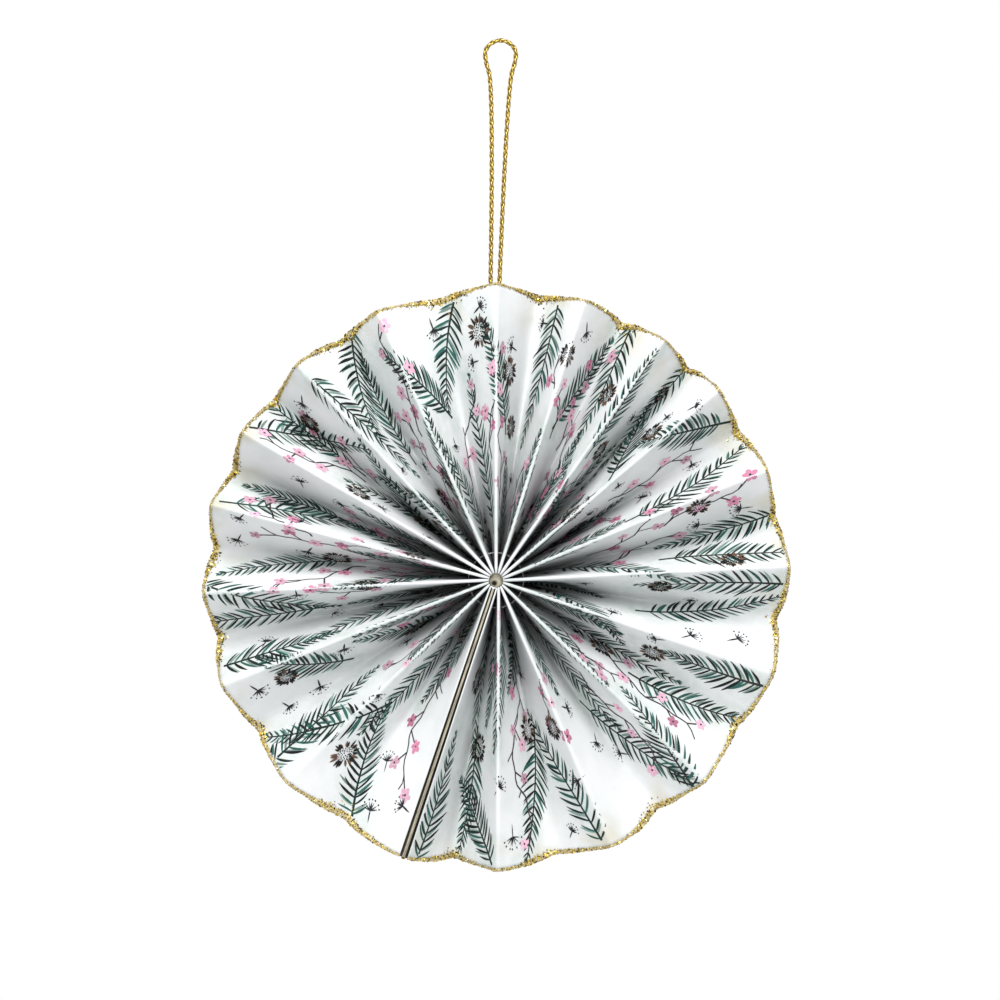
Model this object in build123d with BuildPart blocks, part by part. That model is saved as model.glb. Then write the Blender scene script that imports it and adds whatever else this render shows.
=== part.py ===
"""Pleated paper fan medallion with a glitter edge, hung on a gold cord loop.

A printed paper strip is folded into eighteen pleats, gathered at the hub on a thread and opened to a full
turn. Its two ends, each backed by a stiff card, meet at a seam. The fan hangs upright and faces -Y.
The origin is where the loop hangs, and lengths are in millimetres.
"""
import os
from math import asin, cos, degrees, pi, radians, sin, tan
from typing import NamedTuple

from build123d import *

# Pleated strip
RIDGE_RADIUS = 74.0  # hub centre to the tip of a front ridge, on the bare paper
PLEAT_DEPTH = 18.8  # width of one panel, and so the fan's depth at the hub
PAPER_THICKNESS = 0.22
HUB_SLACK = 0.07  # air beside each layer of paper where the panels are gathered
WIDEST_LEAN = 69.0  # degrees from the fan's axis at which the widest pleat's panels lie at the rim
OPENINGS = (27, 23, 18.5, 17.5, 15.5, 17, 19, 24, 17.5, 17.5, 14.5, 18.5, 19.5, 21.5, 25.5, 22.5, 23.5, 18)
BANDS = 10  # flat bands from hub to rim that carry each panel's twist

# Seam between the strip's two ends
SEAM_TURN = 198.5  # degrees clockwise from the top
SEAM_GAP_HUB = 1.4
SEAM_GAP_RIM = 2.2
CARD_THICKNESS = 0.4
CARD_START = 0.6  # the cards begin this far out from the gathered edge
CARD_CLEARANCE = 0.1  # between the two cards at their front edges, which show in the seam
GLUE_LINE = 0.1  # between card and paper at the back, where they are glued
CARD_SETBACK = 1.5  # card edge short of the valley fold

# Glitter bead on the outer cut edge
GLITTER_WIDTH = 1.0
GLITTER_THICKNESS = 0.6

# Thread and glue at the hub
THREAD_DIAMETER = 0.3
THREAD_HOLE = 0.6
THREAD_RING_RADIUS = 7.0
THREAD_DEPTH = 6.0  # behind the front ridges
GLUE_CLEARANCE = 0.07  # between the glue and the gathered paper
GLUE_CROWN = 0.6  # rise of its rounded front
GLUE_SINK = 2.0  # crown behind the front ridges
GLUE_LENGTH = 12.0

# Cord loop, its knot and where the fan hangs from it
CORD_DIAMETER = 1.2
CORD_SINK = 3.5  # cord's centre line behind the front ridges
HANG_DROP = 136.4  # hanging point down to the hub centre
LOOP_LEAN = 1.2  # hanging point to the right of the hub centre
KNOT_RADIUS = 1.7
KNOT_HEIGHT = 4.0
KNOT_ROUNDING = 1.2
KNOT_CLEARANCE = 0.03  # between the knot and the cord's ends
ARC_SHARE = 0.45  # of the shorter run, taken up by each side of an arc

FRONT = PLEAT_DEPTH / 2
CORD_FRONT = FRONT - CORD_SINK
FAN = Plane(origin=(-LOOP_LEAN, CORD_FRONT, -HANG_DROP), x_dir=(1, 0, 0), z_dir=(0, -1, 0))
PLEATS = len(OPENINGS)
HUB_RADIUS = (2 * PLEATS * (PAPER_THICKNESS + HUB_SLACK) + SEAM_GAP_HUB) / (2 * pi)
CARD_SHARES = [CARD_START / (RIDGE_RADIUS - HUB_RADIUS)] + [band / BANDS for band in range(1, BANDS + 1)]
PAPER_SHARES = [0] + CARD_SHARES

os.makedirs("parts", exist_ok=True)


class PleatSection(NamedTuple):
    """Corners of one pleat's V section, each row from its left ridge to its right ridge."""

    front: list[Vector]
    back: list[Vector]


def ridge_turns(radius: float, seam_gap: float, openings: tuple) -> list[float]:
    """Turn of every ridge, clockwise from the top, with the seam's gap between the last and the first."""
    seam_half = degrees(asin(seam_gap / 2 / radius))
    span = (360 - 2 * seam_half) / sum(openings)
    return [SEAM_TURN + seam_half + span * sum(openings[:count]) for count in range(len(openings) + 1)]


def pleat_section(start: float, end: float, radius: float, depth: float, fold: float, thickness: float):
    """V section of the pleat between two ridges: folds are blunt outside and sharp inside."""
    middle, half_turn = radians((start + end) / 2), radians((end - start) / 2)
    outward = Vector(sin(middle), cos(middle), 0) * radius * cos(half_turn)
    across = Vector(cos(middle), -sin(middle), 0)
    half = radius * sin(half_turn)
    swell = (thickness - PAPER_THICKNESS) / 2
    ridge, valley = FRONT + swell, FRONT - depth - swell

    def corner(along: float, height: float) -> Vector:
        return FAN.from_local_coords(outward + across * along + Vector(0, 0, height))

    return PleatSection(
        [corner(fold - half, ridge), corner(0, valley + thickness), corner(half - fold, ridge)],
        [
            corner(-half, ridge - thickness),
            corner(-fold, valley),
            corner(fold, valley),
            corner(half, ridge - thickness),
        ],
    )


def rim_depth(opening: float) -> float:
    """Depth of a pleat at the rim: panels keep their width, so a wider pleat is shallower."""
    lean = asin(sin(radians(WIDEST_LEAN)) * sin(radians(opening / 2)) / sin(radians(max(OPENINGS) / 2)))
    return PLEAT_DEPTH * cos(lean)


def hub_sections(thickness: float) -> list[PleatSection]:
    """Sections at the gathered hub, where the panels stand side by side, evenly spaced."""
    turns = ridge_turns(HUB_RADIUS, SEAM_GAP_HUB, (1,) * PLEATS)
    return [
        pleat_section(turns[i], turns[i + 1], HUB_RADIUS, PLEAT_DEPTH, PAPER_THICKNESS, thickness)
        for i in range(PLEATS)
    ]


def rim_sections(thickness: float, beyond: float = 0) -> list[PleatSection]:
    """Sections at the rim, or at a distance beyond it, where each pleat has its own opening."""
    turns = ridge_turns(RIDGE_RADIUS, SEAM_GAP_RIM, OPENINGS)
    return [
        pleat_section(
            turns[i],
            turns[i + 1],
            RIDGE_RADIUS + beyond,
            rim_depth(OPENINGS[i]),
            PAPER_THICKNESS / 2,
            thickness,
        )
        for i in range(PLEATS)
    ]


def outline(sections: list[PleatSection]) -> list[Vector]:
    """Closed outline of the folded strip: out along its front corners and home along its back corners."""
    front = [point for section in sections for point in section.front]
    back = [point for section in sections for point in section.back[:3]] + [sections[-1].back[3]]
    return front + back[::-1]


def flat_face(*points: Vector) -> Face:
    """Flat face with these corners."""
    return Face(Wire.make_polygon(points))


def split_quad(a: Vector, b: Vector, c: Vector, d: Vector) -> list[Face]:
    """Two flat triangles for a twisted quad whose side ab is nearer the hub.

    The split starts at the front one of a and b, so that the two faces of a panel are split alike.
    """
    if a.Y < b.Y:
        return [flat_face(a, b, c), flat_face(a, c, d)]
    return [flat_face(a, b, d), flat_face(b, c, d)]


def on_the_way(inner: list[Vector], outer: list[Vector], share: float) -> list[Vector]:
    """Points at a share of the way along the straight lines from the inner to the outer ones."""
    return [start + (end - start) * share for start, end in zip(inner, outer)]


def banded_sides(rows: list[list[Vector]]) -> list[Face]:
    """Side faces through like outlines, from the inner one out, in bands of flat triangles."""
    faces = []
    for near, far in zip(rows, rows[1:]):
        for i in range(len(near)):
            j = (i + 1) % len(near)
            faces += split_quad(near[i], near[j], far[j], far[i])
    return faces


def cut_edge(sections: list[PleatSection]) -> list[list[Vector]]:
    """Cut edge of the folded strip, seen from outside: a V for each pleat and a triangle at each ridge."""
    faces = [section.front + section.back[::-1] for section in sections]
    for left, right in zip(sections, sections[1:]):
        faces.append([left.front[-1], right.front[0], right.back[0]])
    return faces


def folded_strip(inner: list[PleatSection], outer: list[PleatSection], shares: list[float]) -> Solid:
    """Solid between two rings of pleat sections, with its bands' edges at these shares of the way."""
    rows = [on_the_way(outline(inner), outline(outer), share) for share in shares]
    faces = banded_sides(rows)
    faces += [flat_face(*corners) for corners in cut_edge(outer)]
    faces += [flat_face(*corners[::-1]) for corners in cut_edge(inner)]
    return Solid(Shell(faces))


hub_ring = hub_sections(PAPER_THICKNESS)
rim_ring = rim_sections(PAPER_THICKNESS)
THREAD_PLANE = FAN.offset(FRONT - THREAD_DEPTH)

# A ring that cuts a small square hole through every panel and card, where the binding thread passes
with BuildPart() as thread_channel:
    with BuildSketch(THREAD_PLANE.offset(-THREAD_HOLE / 2)):
        Circle(THREAD_RING_RADIUS + THREAD_HOLE / 2)
        Circle(THREAD_RING_RADIUS - THREAD_HOLE / 2, mode=Mode.SUBTRACT)
    extrude(amount=THREAD_HOLE)

with BuildPart() as pleated_paper:
    add(folded_strip(hub_ring, rim_ring, PAPER_SHARES))
    add(thread_channel.part, mode=Mode.SUBTRACT)

glitter_inner = rim_sections(GLITTER_THICKNESS)
glitter_outer = rim_sections(GLITTER_THICKNESS, GLITTER_WIDTH)

with BuildPart() as glitter_edge:
    add(folded_strip(glitter_inner, glitter_outer, [0, 1]))

with BuildPart() as binding_thread:
    with BuildSketch(Plane(origin=THREAD_PLANE.origin, x_dir=FAN.x_dir, z_dir=FAN.y_dir)):
        with Locations((THREAD_RING_RADIUS, 0)):
            RegularPolygon(THREAD_DIAMETER / 2, 6)
    revolve(axis=Axis(FAN.origin, FAN.z_dir))


def card_section(ridge: Vector, valley: Vector, seamward: Vector, edge_gap: float) -> list[Vector]:
    """Corners of an end card's section: its front edge stands in the seam, its foot is glued on."""
    down = (valley - ridge).normalized()
    away = (seamward - down * seamward.dot(down)).normalized()
    foot = valley - down * CARD_SETBACK
    return [
        ridge + seamward * edge_gap,
        ridge + seamward * (edge_gap + CARD_THICKNESS),
        foot + away * (GLUE_LINE + CARD_THICKNESS),
        foot + away * GLUE_LINE,
    ]


def end_card(hub_panel: list[Vector], rim_panel: list[Vector], seamward: Vector) -> list[list[Vector]]:
    """Sections of the card behind an end panel, which is given by its ridge and valley at hub and rim."""
    rows = []
    for share in CARD_SHARES:
        seam_gap = SEAM_GAP_HUB + (SEAM_GAP_RIM - SEAM_GAP_HUB) * share
        edge_gap = (seam_gap - CARD_CLEARANCE) / 2 - CARD_THICKNESS
        rows.append(card_section(*on_the_way(hub_panel, rim_panel, share), seamward, edge_gap))
    return rows


def card_solid(rows: list[list[Vector]]) -> Solid:
    """Solid through a card's sections, whose corners run clockwise as seen from outside the rim."""
    return Solid(Shell(banded_sides(rows) + [flat_face(*rows[0][::-1]), flat_face(*rows[-1])]))


seam_turn = radians(SEAM_TURN)
clockwise = FAN.from_local_coords(Vector(cos(seam_turn), -sin(seam_turn), 0)) - FAN.origin
left_rows = end_card(hub_ring[0].back[:2], rim_ring[0].back[:2], clockwise * -1)
right_rows = end_card(hub_ring[-1].back[:1:-1], rim_ring[-1].back[:1:-1], clockwise)

with BuildPart() as end_card_left:
    add(card_solid([row[::-1] for row in left_rows]))
    add(thread_channel.part, mode=Mode.SUBTRACT)

with BuildPart() as end_card_right:
    add(card_solid(right_rows))
    add(thread_channel.part, mode=Mode.SUBTRACT)

hub_turns = ridge_turns(HUB_RADIUS, SEAM_GAP_HUB, (1,) * PLEATS)
glue_radius = HUB_RADIUS * cos(radians(hub_turns[1] - hub_turns[0]) / 2) - GLUE_CLEARANCE

with BuildPart() as centre_glue:
    with BuildSketch(FAN.offset(FRONT - GLUE_SINK)):
        Circle(glue_radius)
    extrude(amount=-GLUE_LENGTH)
    front_edge = centre_glue.edges().filter_by(GeomType.CIRCLE).sort_by(Axis.Y)[0]
    chamfer(front_edge, GLUE_CROWN / 2, GLUE_CROWN)

# Cord route from the knot up the left leg, round the top and down the right leg: right and up from the hub
CORD_ROUTE = [
    (-1.6, 63.0),
    (-0.45, 125.0),
    (-3.2, 133.2),
    (-1.85, 136.1),
    (1.15, 137.3),
    (4.15, 136.1),
    (5.5, 133.2),
    (2.75, 125.0),
    (0.4, 63.0),
]
cord_points = [FAN.from_local_coords(Vector(x, y, CORD_FRONT)) for x, y in CORD_ROUTE]
cord_runs = [b - a for a, b in zip(cord_points, cord_points[1:])]
cord_radii = [
    ARC_SHARE * min(before.length, after.length) / tan(radians(before.get_angle(after) / 2))
    for before, after in zip(cord_runs, cord_runs[1:])
]
print("cord radii", [round(radius, 1) for radius in cord_radii])

with BuildPart() as hanging_cord:
    with BuildLine() as cord_path:
        FilletPolyline(*cord_points, radius=cord_radii)
    with BuildSketch(Plane(origin=cord_points[0], z_dir=cord_runs[0])):
        Circle(CORD_DIAMETER / 2)
    sweep()
print("cord length", round(sum(edge.length for edge in cord_path.edges()), 1))

knot_top = (cord_points[0] + cord_points[-1]) / 2 - Vector(0, 0, KNOT_CLEARANCE)
with BuildPart() as cord_knot:
    with Locations(knot_top):
        Cylinder(KNOT_RADIUS, KNOT_HEIGHT, align=(Align.CENTER, Align.CENTER, Align.MAX))
    chamfer(cord_knot.edges().filter_by(GeomType.CIRCLE).sort_by(Axis.Z)[0], KNOT_ROUNDING)

pieces = {
    "pleated_paper": pleated_paper,
    "glitter_edge": glitter_edge,
    "end_card_left": end_card_left,
    "end_card_right": end_card_right,
    "binding_thread": binding_thread,
    "centre_glue": centre_glue,
    "hanging_cord": hanging_cord,
    "cord_knot": cord_knot,
}
for name, piece in pieces.items():
    piece.part.label = name
    export_step(piece.part, f"parts/{name}.step")
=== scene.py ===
"""Dresses the pleated paper fan medallion: printed paper, glitter edge, gold cord loop, hub and seam.

Lengths are metres in the part's frame: +Z up, -Y out of the printed front. The sheet is described by two
numbers: `across` counts panels clockwise from the seam, and `share` runs from the hub, 0, to the rim, 1.
"""
import logging
import math
from dataclasses import dataclass, field
from enum import Enum

import bpy
import numpy as np
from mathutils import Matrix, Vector


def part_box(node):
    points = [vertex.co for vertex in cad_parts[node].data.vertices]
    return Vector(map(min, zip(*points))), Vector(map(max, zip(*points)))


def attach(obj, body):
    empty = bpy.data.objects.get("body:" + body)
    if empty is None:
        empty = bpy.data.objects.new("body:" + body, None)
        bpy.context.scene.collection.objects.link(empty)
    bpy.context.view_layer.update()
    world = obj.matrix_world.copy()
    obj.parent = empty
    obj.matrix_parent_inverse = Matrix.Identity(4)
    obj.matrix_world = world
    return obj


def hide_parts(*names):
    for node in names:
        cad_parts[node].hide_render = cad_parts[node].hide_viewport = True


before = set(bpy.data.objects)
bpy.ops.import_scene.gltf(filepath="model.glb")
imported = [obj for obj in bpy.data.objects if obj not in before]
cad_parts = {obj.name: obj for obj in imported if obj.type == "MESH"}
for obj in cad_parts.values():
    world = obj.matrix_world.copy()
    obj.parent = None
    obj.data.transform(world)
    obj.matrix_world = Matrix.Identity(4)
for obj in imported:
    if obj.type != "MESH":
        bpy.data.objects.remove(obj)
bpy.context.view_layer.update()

MM = 0.001
BODY = "root"
BAKE_MAP = "OFBake"
ROW_END_MARGIN = 0.01
ROW_SIDE_MARGIN = 0.04
CELL_MARGIN = 0.12
LOG = logging.getLogger("paper_fan")

Array = np.ndarray
Chance = np.random.Generator
Faces = list[list[int]]
Colour = tuple[float, float, float]
Pair = tuple[float, float]
Range = tuple[float, float]
Piece = bpy.types.Object
Material = bpy.types.Material
Socket = bpy.types.NodeSocket
Value = Socket | Colour | float


def unit(vectors: Array) -> Array:
    """Vectors divided by their lengths, along the last axis."""
    return vectors / np.linalg.norm(vectors, axis=-1, keepdims=True)


def between(start: Array | float, end: Array | float, share: Array | float) -> Array:
    """Values a share of the way from a start to an end."""
    return start + (end - start) * share


def inset(place: Array, margin: float) -> Array:
    """Places from 0 to 1, drawn in by a margin at both ends."""
    return margin + (1 - 2 * margin) * place


def bell(distance: Array, width: float) -> Array:
    """Bell curve: 1 at no distance, and about a third at one width."""
    return np.exp(-((distance / width) ** 2))


def turns_round(count: int) -> Array:
    """Angles that share a full turn evenly, in radians."""
    return np.arange(count) * math.tau / count


def pointing(angles: Array) -> Array:
    """Unit vectors in the plane that point at these angles."""
    return np.stack([np.cos(angles), np.sin(angles)], axis=-1)


def corners(box: tuple[Vector, Vector]) -> tuple[Array, Array]:
    """A box's lowest and highest corner as arrays."""
    return np.array(box[0]), np.array(box[1])


def grid_faces(rows: int, columns: int, wrap: bool = False) -> Array:
    """Quads of a grid of points that are numbered row by row.

    Args:
        rows: rows of points.
        columns: points in a row.
        wrap: True where the last column joins the first, as round a tube.

    Returns:
        Corner numbers, four to a quad, which turn from the column's way to the row's way.
    """
    near = np.arange(rows - 1)[:, None] * columns
    left = np.arange(columns if wrap else columns - 1)[None, :]
    right = (left + 1) % columns
    far = near + columns
    return np.stack([near + left, near + right, far + right, far + left], axis=-1).reshape(-1, 4)


def end_caps(start: int, stations: int, sides: int) -> Faces:
    """Faces that close a tube's two ends, for quads that turn as grid_faces gives them.

    Args:
        start: number of the tube's first point.
        stations: rings of points along the tube.
        sides: points in a ring.

    Returns:
        Corner numbers of the first end and of the last.
    """
    last = start + (stations - 1) * sides
    return [list(range(start + sides - 1, start - 1, -1)), list(range(last, last + sides))]


def add_mesh(name: str, points: Array, faces: Faces, material: Material, smooth: bool = True) -> Piece:
    """A new mesh object at the origin, with its place in its points.

    Args:
        name: the piece's name.
        points: corners, three numbers each.
        faces: corner numbers of each face.
        material: the finish of every face.
        smooth: True for smooth shading.

    Returns:
        The new object, linked to the scene.
    """
    mesh = bpy.data.meshes.new(name)
    mesh.from_pydata(np.reshape(points, (-1, 3)), [], faces)
    mesh.materials.append(material)
    mesh.polygons.foreach_set("use_smooth", np.full(len(mesh.polygons), smooth))
    piece = bpy.data.objects.new(name, mesh)
    bpy.context.scene.collection.objects.link(piece)
    return piece


def add_map(piece: Piece, name: str, corner_uv: Array) -> None:
    """Gives a piece a UV map: two numbers for each face corner, in the mesh's own order of corners."""
    layer = piece.data.uv_layers.new(name=name)
    layer.uv.foreach_set("vector", np.asarray(corner_uv, np.float32).ravel())


def corner_numbers(piece: Piece) -> Array:
    """The point number of every face corner of a mesh object."""
    numbers = np.empty(len(piece.data.loops), np.int32)
    piece.data.loops.foreach_get("vertex_index", numbers)
    return numbers


def lay_in_rows(piece: Piece, along: Array, aside: Array, strip: Array, strips: int, rows: int) -> None:
    """Lays long strips out on the bake's map, each cut into rows that lie side by side.

    Args:
        piece: mesh object.
        along: place along its strip of each face corner, 0 to 1.
        aside: place across its strip of each face corner, 0 to 1.
        strip: number of each face corner's strip.
        strips: how many strips there are.
        rows: rows to each strip.
    """
    starts = np.empty(len(piece.data.polygons), np.int32)
    piece.data.polygons.foreach_get("loop_start", starts)
    counts = np.diff(np.append(starts, len(along)))
    middle = np.add.reduceat(along, starts) / counts
    row = np.repeat(np.minimum((middle * rows).astype(int), rows - 1), counts)
    u = inset(along * rows - row, ROW_END_MARGIN)
    v = (strip * rows + row + inset(aside, ROW_SIDE_MARGIN)) / (strips * rows)
    add_map(piece, BAKE_MAP, np.stack([u, v], axis=-1))


def lay_in_cells(piece: Piece, patch: Array, patches: int, local: Array) -> None:
    """Lays many small patches out on the bake's map, each in a square cell of its own.

    Args:
        piece: mesh object.
        patch: number of each point's patch.
        patches: how many patches there are.
        local: place of each point in its patch's square, 0 to 1 both ways.
    """
    side = math.ceil(math.sqrt(patches))
    cell = np.stack([patch % side, patch // side], axis=-1)
    add_map(piece, BAKE_MAP, ((cell + inset(local, CELL_MARGIN)) / side)[corner_numbers(piece)])


def tube_corners(piece: Piece, sides: int, stations: int, quads: int) -> tuple[Array, Array, Array]:
    """Where each face corner of a set of tubes lies. The far side of the last face counts as once round.

    Args:
        piece: tubes numbered one after another, station by station, with their quads before their end caps.
        sides: points round a tube.
        stations: points along it.
        quads: how many quads there are.

    Returns:
        Tube number, station number, and share of the way round, for each corner.
    """
    number = corner_numbers(piece)
    corner = np.arange(len(number))
    side = number % sides
    last = (side == 0) & ((corner % 4 == 1) | (corner % 4 == 2)) & (corner < quads * 4)
    return number // (sides * stations), number // sides % stations, (side + sides * last) / sides


def add_colours(piece: Piece, name: str, colours: Array) -> None:
    """Stores one colour for each point of a mesh object, as an attribute that its material reads."""
    rgba = np.ones((len(colours), 4), np.float32)
    rgba[:, :3] = colours
    piece.data.attributes.new(name, "FLOAT_COLOR", "POINT").data.foreach_set("color", rgba.ravel())


def add_values(piece: Piece, name: str, values: Array) -> None:
    """Stores one number for each point of a mesh object, as an attribute that its material reads."""
    store = piece.data.attributes.new(name, "FLOAT", "POINT").data
    store.foreach_set("value", np.asarray(values, np.float32).ravel())


def settle(piece: Piece, slot: str, *nodes: str) -> Piece:
    """Lets a piece ride on the fan's one body and stand for CAD nodes.

    Args:
        piece: the finished piece.
        slot: the record's material slot; not used.
        nodes: CAD nodes that the piece stands for.

    Returns:
        The same piece.
    """
    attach(piece, BODY)
    if nodes:
        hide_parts(*nodes)
    LOG.info("%s: %d faces", piece.name, len(piece.data.polygons))
    return piece


class NodeSheet:
    """Adds and links the nodes of one material."""

    def __init__(self, name: str) -> None:
        """Starts a material that has one Principled shader."""
        self.material: Material = bpy.data.materials.new(name)
        self.material.use_nodes = True
        self.tree: bpy.types.NodeTree = self.material.node_tree
        self.shader: bpy.types.Node = self.tree.nodes["Principled BSDF"]

    def put(self, socket: Socket, value: Value) -> None:
        """Links an input to another node's output, or sets it to a plain value."""
        if isinstance(value, Socket):
            self.tree.links.new(value, socket)
        else:
            socket.default_value = (*value, 1.0) if socket.type == "RGBA" else value

    def set(self, target: bpy.types.Node, **inputs: Value) -> None:
        """Sets a node's inputs, by name with _ for a space."""
        for key, value in inputs.items():
            self.put(target.inputs[key.replace("_", " ")], value)

    def coat(self, colour: Value, roughness: float, **inputs: Value) -> None:
        """Sets the shader's colour, roughness and other inputs."""
        self.set(self.shader, Base_Color=colour, Roughness=roughness, **inputs)

    def add(self, kind: str, settings: dict[str, str] | None = None, **inputs: Value) -> Socket:
        """Adds a node.

        Args:
            kind: the node's Blender type, without its ShaderNode prefix.
            settings: properties of the node itself.
            inputs: values or outputs for its inputs.

        Returns:
            The node's first output.
        """
        node = self.tree.nodes.new("ShaderNode" + kind)
        for key, value in (settings or {}).items():
            setattr(node, key, value)
        self.set(node, **inputs)
        return node.outputs[0]

    def noise(self, size: float, detail: float = 2.0) -> Socket:
        """Noise whose lumps are about this large on the piece."""
        place = self.tree.nodes.new("ShaderNodeTexCoord").outputs["Object"]
        return self.add("TexNoise", Vector=place, Scale=1 / size, Detail=detail)

    def spread(self, value: Socket, span: Range, onto: Range = (0.0, 1.0)) -> Socket:
        """Maps a value from one range onto another, and holds it there."""
        limits = {"From_Min": span[0], "From_Max": span[1], "To_Min": onto[0], "To_Max": onto[1]}
        return self.add("MapRange", Value=value, **limits)

    def mix(self, share: Value, first: Value, second: Value, way: str = "MIX") -> Socket:
        """Mixes two colours, which are written or come from other nodes.

        Args:
            share: how much of the second shows.
            first: colour or output.
            second: colour or output.
            way: the kind of mix.

        Returns:
            The mixed colour.
        """
        node = self.tree.nodes.new("ShaderNodeMix")
        node.data_type = "RGBA"
        node.blend_type = way
        for index, value in ((0, share), (6, first), (7, second)):
            self.put(node.inputs[index], value)
        return node.outputs[2]

    def product(self, first: Socket, second: Socket) -> Socket:
        """One value times another."""
        node = self.tree.nodes.new("ShaderNodeMath")
        node.operation = "MULTIPLY"
        self.put(node.inputs[0], first)
        self.put(node.inputs[1], second)
        return node.outputs[0]

    def attribute(self, name: str, output: str = "Fac") -> Socket:
        """A mesh attribute's Fac or Color."""
        node = self.tree.nodes.new("ShaderNodeAttribute")
        node.attribute_name = name
        return node.outputs[output]

    def bump(self, height: Socket, depth: float) -> None:
        """Raises the shader's surface by a height from 0 to 1, over this depth in metres."""
        self.set(self.shader, Normal=self.add("Bump", Height=height, Distance=depth, Strength=1.0))


@dataclass(frozen=True)
class PaperFinish:
    """Matte white paper with pale washes, glue-stained near the rim, and darkened by painted shade in the
    gathered folds near the hub.
    """

    white: Colour = (0.80, 0.805, 0.81)
    mottle: Colour = (0.74, 0.75, 0.745)
    wash: Colour = (0.47, 0.56, 0.51)
    stain: Colour = (0.62, 0.56, 0.40)
    # Colour of the painted shade in the gathered folds.
    shade: Colour = (0.10, 0.105, 0.105)
    roughness: float = 0.7
    specular: float = 0.2
    tooth: float = 0.25 * MM
    tooth_depth: float = 0.012 * MM
    cloud: float = 7 * MM
    cloud_range: Range = (0.45, 0.75)
    blot: float = 2.5 * MM
    blot_range: Range = (0.35, 0.65)
    blot_share: Range = (0.35, 1.0)
    patch: float = 10.5 * MM
    patch_range: Range = (0.5, 0.7)
    patch_share: Range = (0.0, 0.6)

    def material(self) -> Material:
        """Builds the material: clouded white, with washes, stains and painted shade as the sheet's attributes
        say.
        """
        sheet = NodeSheet("printed_paper")
        cloud = sheet.spread(sheet.noise(self.cloud, 3.0), self.cloud_range)
        base = sheet.mix(cloud, self.white, self.mottle)
        blots = sheet.spread(sheet.noise(self.blot, 3.0), self.blot_range, self.blot_share)
        wash = sheet.product(sheet.attribute("wash"), blots)
        patches = sheet.spread(sheet.noise(self.patch), self.patch_range, self.patch_share)
        stain = sheet.product(sheet.attribute("stain"), patches)
        printed = sheet.mix(stain, sheet.mix(wash, base, self.wash), self.stain)
        # Painted shade: the gathered folds near the hub are darkened in the paper's colour.
        colour = sheet.mix(sheet.attribute("painted_valley_shade"), printed, self.shade)
        sheet.coat(colour, self.roughness, Specular_IOR_Level=self.specular)
        sheet.bump(sheet.noise(self.tooth, 4.0), self.tooth_depth)
        return sheet.material


@dataclass(frozen=True)
class InkFinish:
    """Printed ink: the colour of each stroke, a little uneven as it soaks in."""

    thin: Colour = (0.78, 0.78, 0.78)
    full: Colour = (1.0, 1.0, 1.0)
    roughness: float = 0.6
    specular: float = 0.2
    grain: float = 0.6 * MM
    grain_range: Range = (0.35, 0.65)

    def material(self) -> Material:
        """Builds the material from the strokes' colour attribute, times a fine unevenness."""
        sheet = NodeSheet("print_ink")
        uneven = sheet.mix(sheet.spread(sheet.noise(self.grain), self.grain_range), self.thin, self.full)
        colour = sheet.mix(1.0, sheet.attribute("ink", "Color"), uneven, "MULTIPLY")
        sheet.coat(colour, self.roughness, Specular_IOR_Level=self.specular)
        return sheet.material


@dataclass(frozen=True)
class FlakeFinish:
    """Glitter flakes: mirror-like film whose colour differs from flake to flake, some painted near-black as
    shade.
    """

    roughness: float = 0.24
    grain: float = 0.1 * MM
    crinkle: float = 0.01 * MM

    def material(self) -> Material:
        """Builds the material from the flakes' colour attribute, with a faintly crinkled face."""
        sheet = NodeSheet("gold_flakes")
        sheet.coat(sheet.attribute("flake", "Color"), self.roughness, Metallic=1.0)
        sheet.bump(sheet.noise(self.grain), self.crinkle)
        return sheet.material


@dataclass(frozen=True)
class BeadFinish:
    """Pale glue bead under the flakes, clouded with fine gold dust."""

    glue: Colour = (0.66, 0.61, 0.46)
    gold: Colour = (0.42, 0.30, 0.06)
    metallic: float = 0.3
    roughness: float = 0.4
    speck: float = 0.35 * MM
    speck_range: Range = (0.42, 0.54)
    relief: float = 0.12 * MM

    def material(self) -> Material:
        """Builds the material: glue specked with gold dust, with the same specks as relief."""
        sheet = NodeSheet("glitter_bead")
        specks = sheet.noise(self.speck, 3.0)
        colour = sheet.mix(sheet.spread(specks, self.speck_range), self.glue, self.gold)
        sheet.coat(colour, self.roughness, Metallic=self.metallic)
        sheet.bump(specks, self.relief)
        return sheet.material


@dataclass(frozen=True)
class YarnFinish:
    """Twisted yarn: fine filaments wound round each ply, shown by stripes on the ply's own map, painted from
    a shaded to a lit colour.
    """

    name: str
    lit: Colour
    shade: Colour
    metallic: float
    roughness: float
    stripes: float = 14.0
    waver: float = 1.5
    stripe_range: Range = (0.1, 0.8)
    groove_range: Range = (0.3, 1.0)
    groove_share: Range = (0.0, 0.8)
    depth: float = 0.05 * MM

    def material(self) -> Material:
        """Builds the material: stripes of painted light and shade across the map's diagonal, broken by noise,
        and painted shade in the grooves.
        """
        sheet = NodeSheet(self.name)
        place = sheet.add("UVMap", {"uv_map": "yarn"})
        look = {"Scale": self.stripes / math.tau, "Distortion": self.waver, "Detail": 2.0}
        wave = sheet.add("TexWave", {"bands_direction": "DIAGONAL"}, Vector=place, **look)
        stripes = sheet.add("SeparateColor", Color=wave)
        # Painted light and shade: each stripe runs from the shaded colour to the lit one.
        striped = sheet.mix(sheet.spread(stripes, self.stripe_range), self.shade, self.lit)
        # Painted shade where two plies meet.
        groove_shade = sheet.spread(sheet.attribute("groove_shade"), self.groove_range, self.groove_share)
        sheet.coat(sheet.mix(groove_shade, striped, self.shade), self.roughness, Metallic=self.metallic)
        sheet.bump(stripes, self.depth)
        return sheet.material


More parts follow.
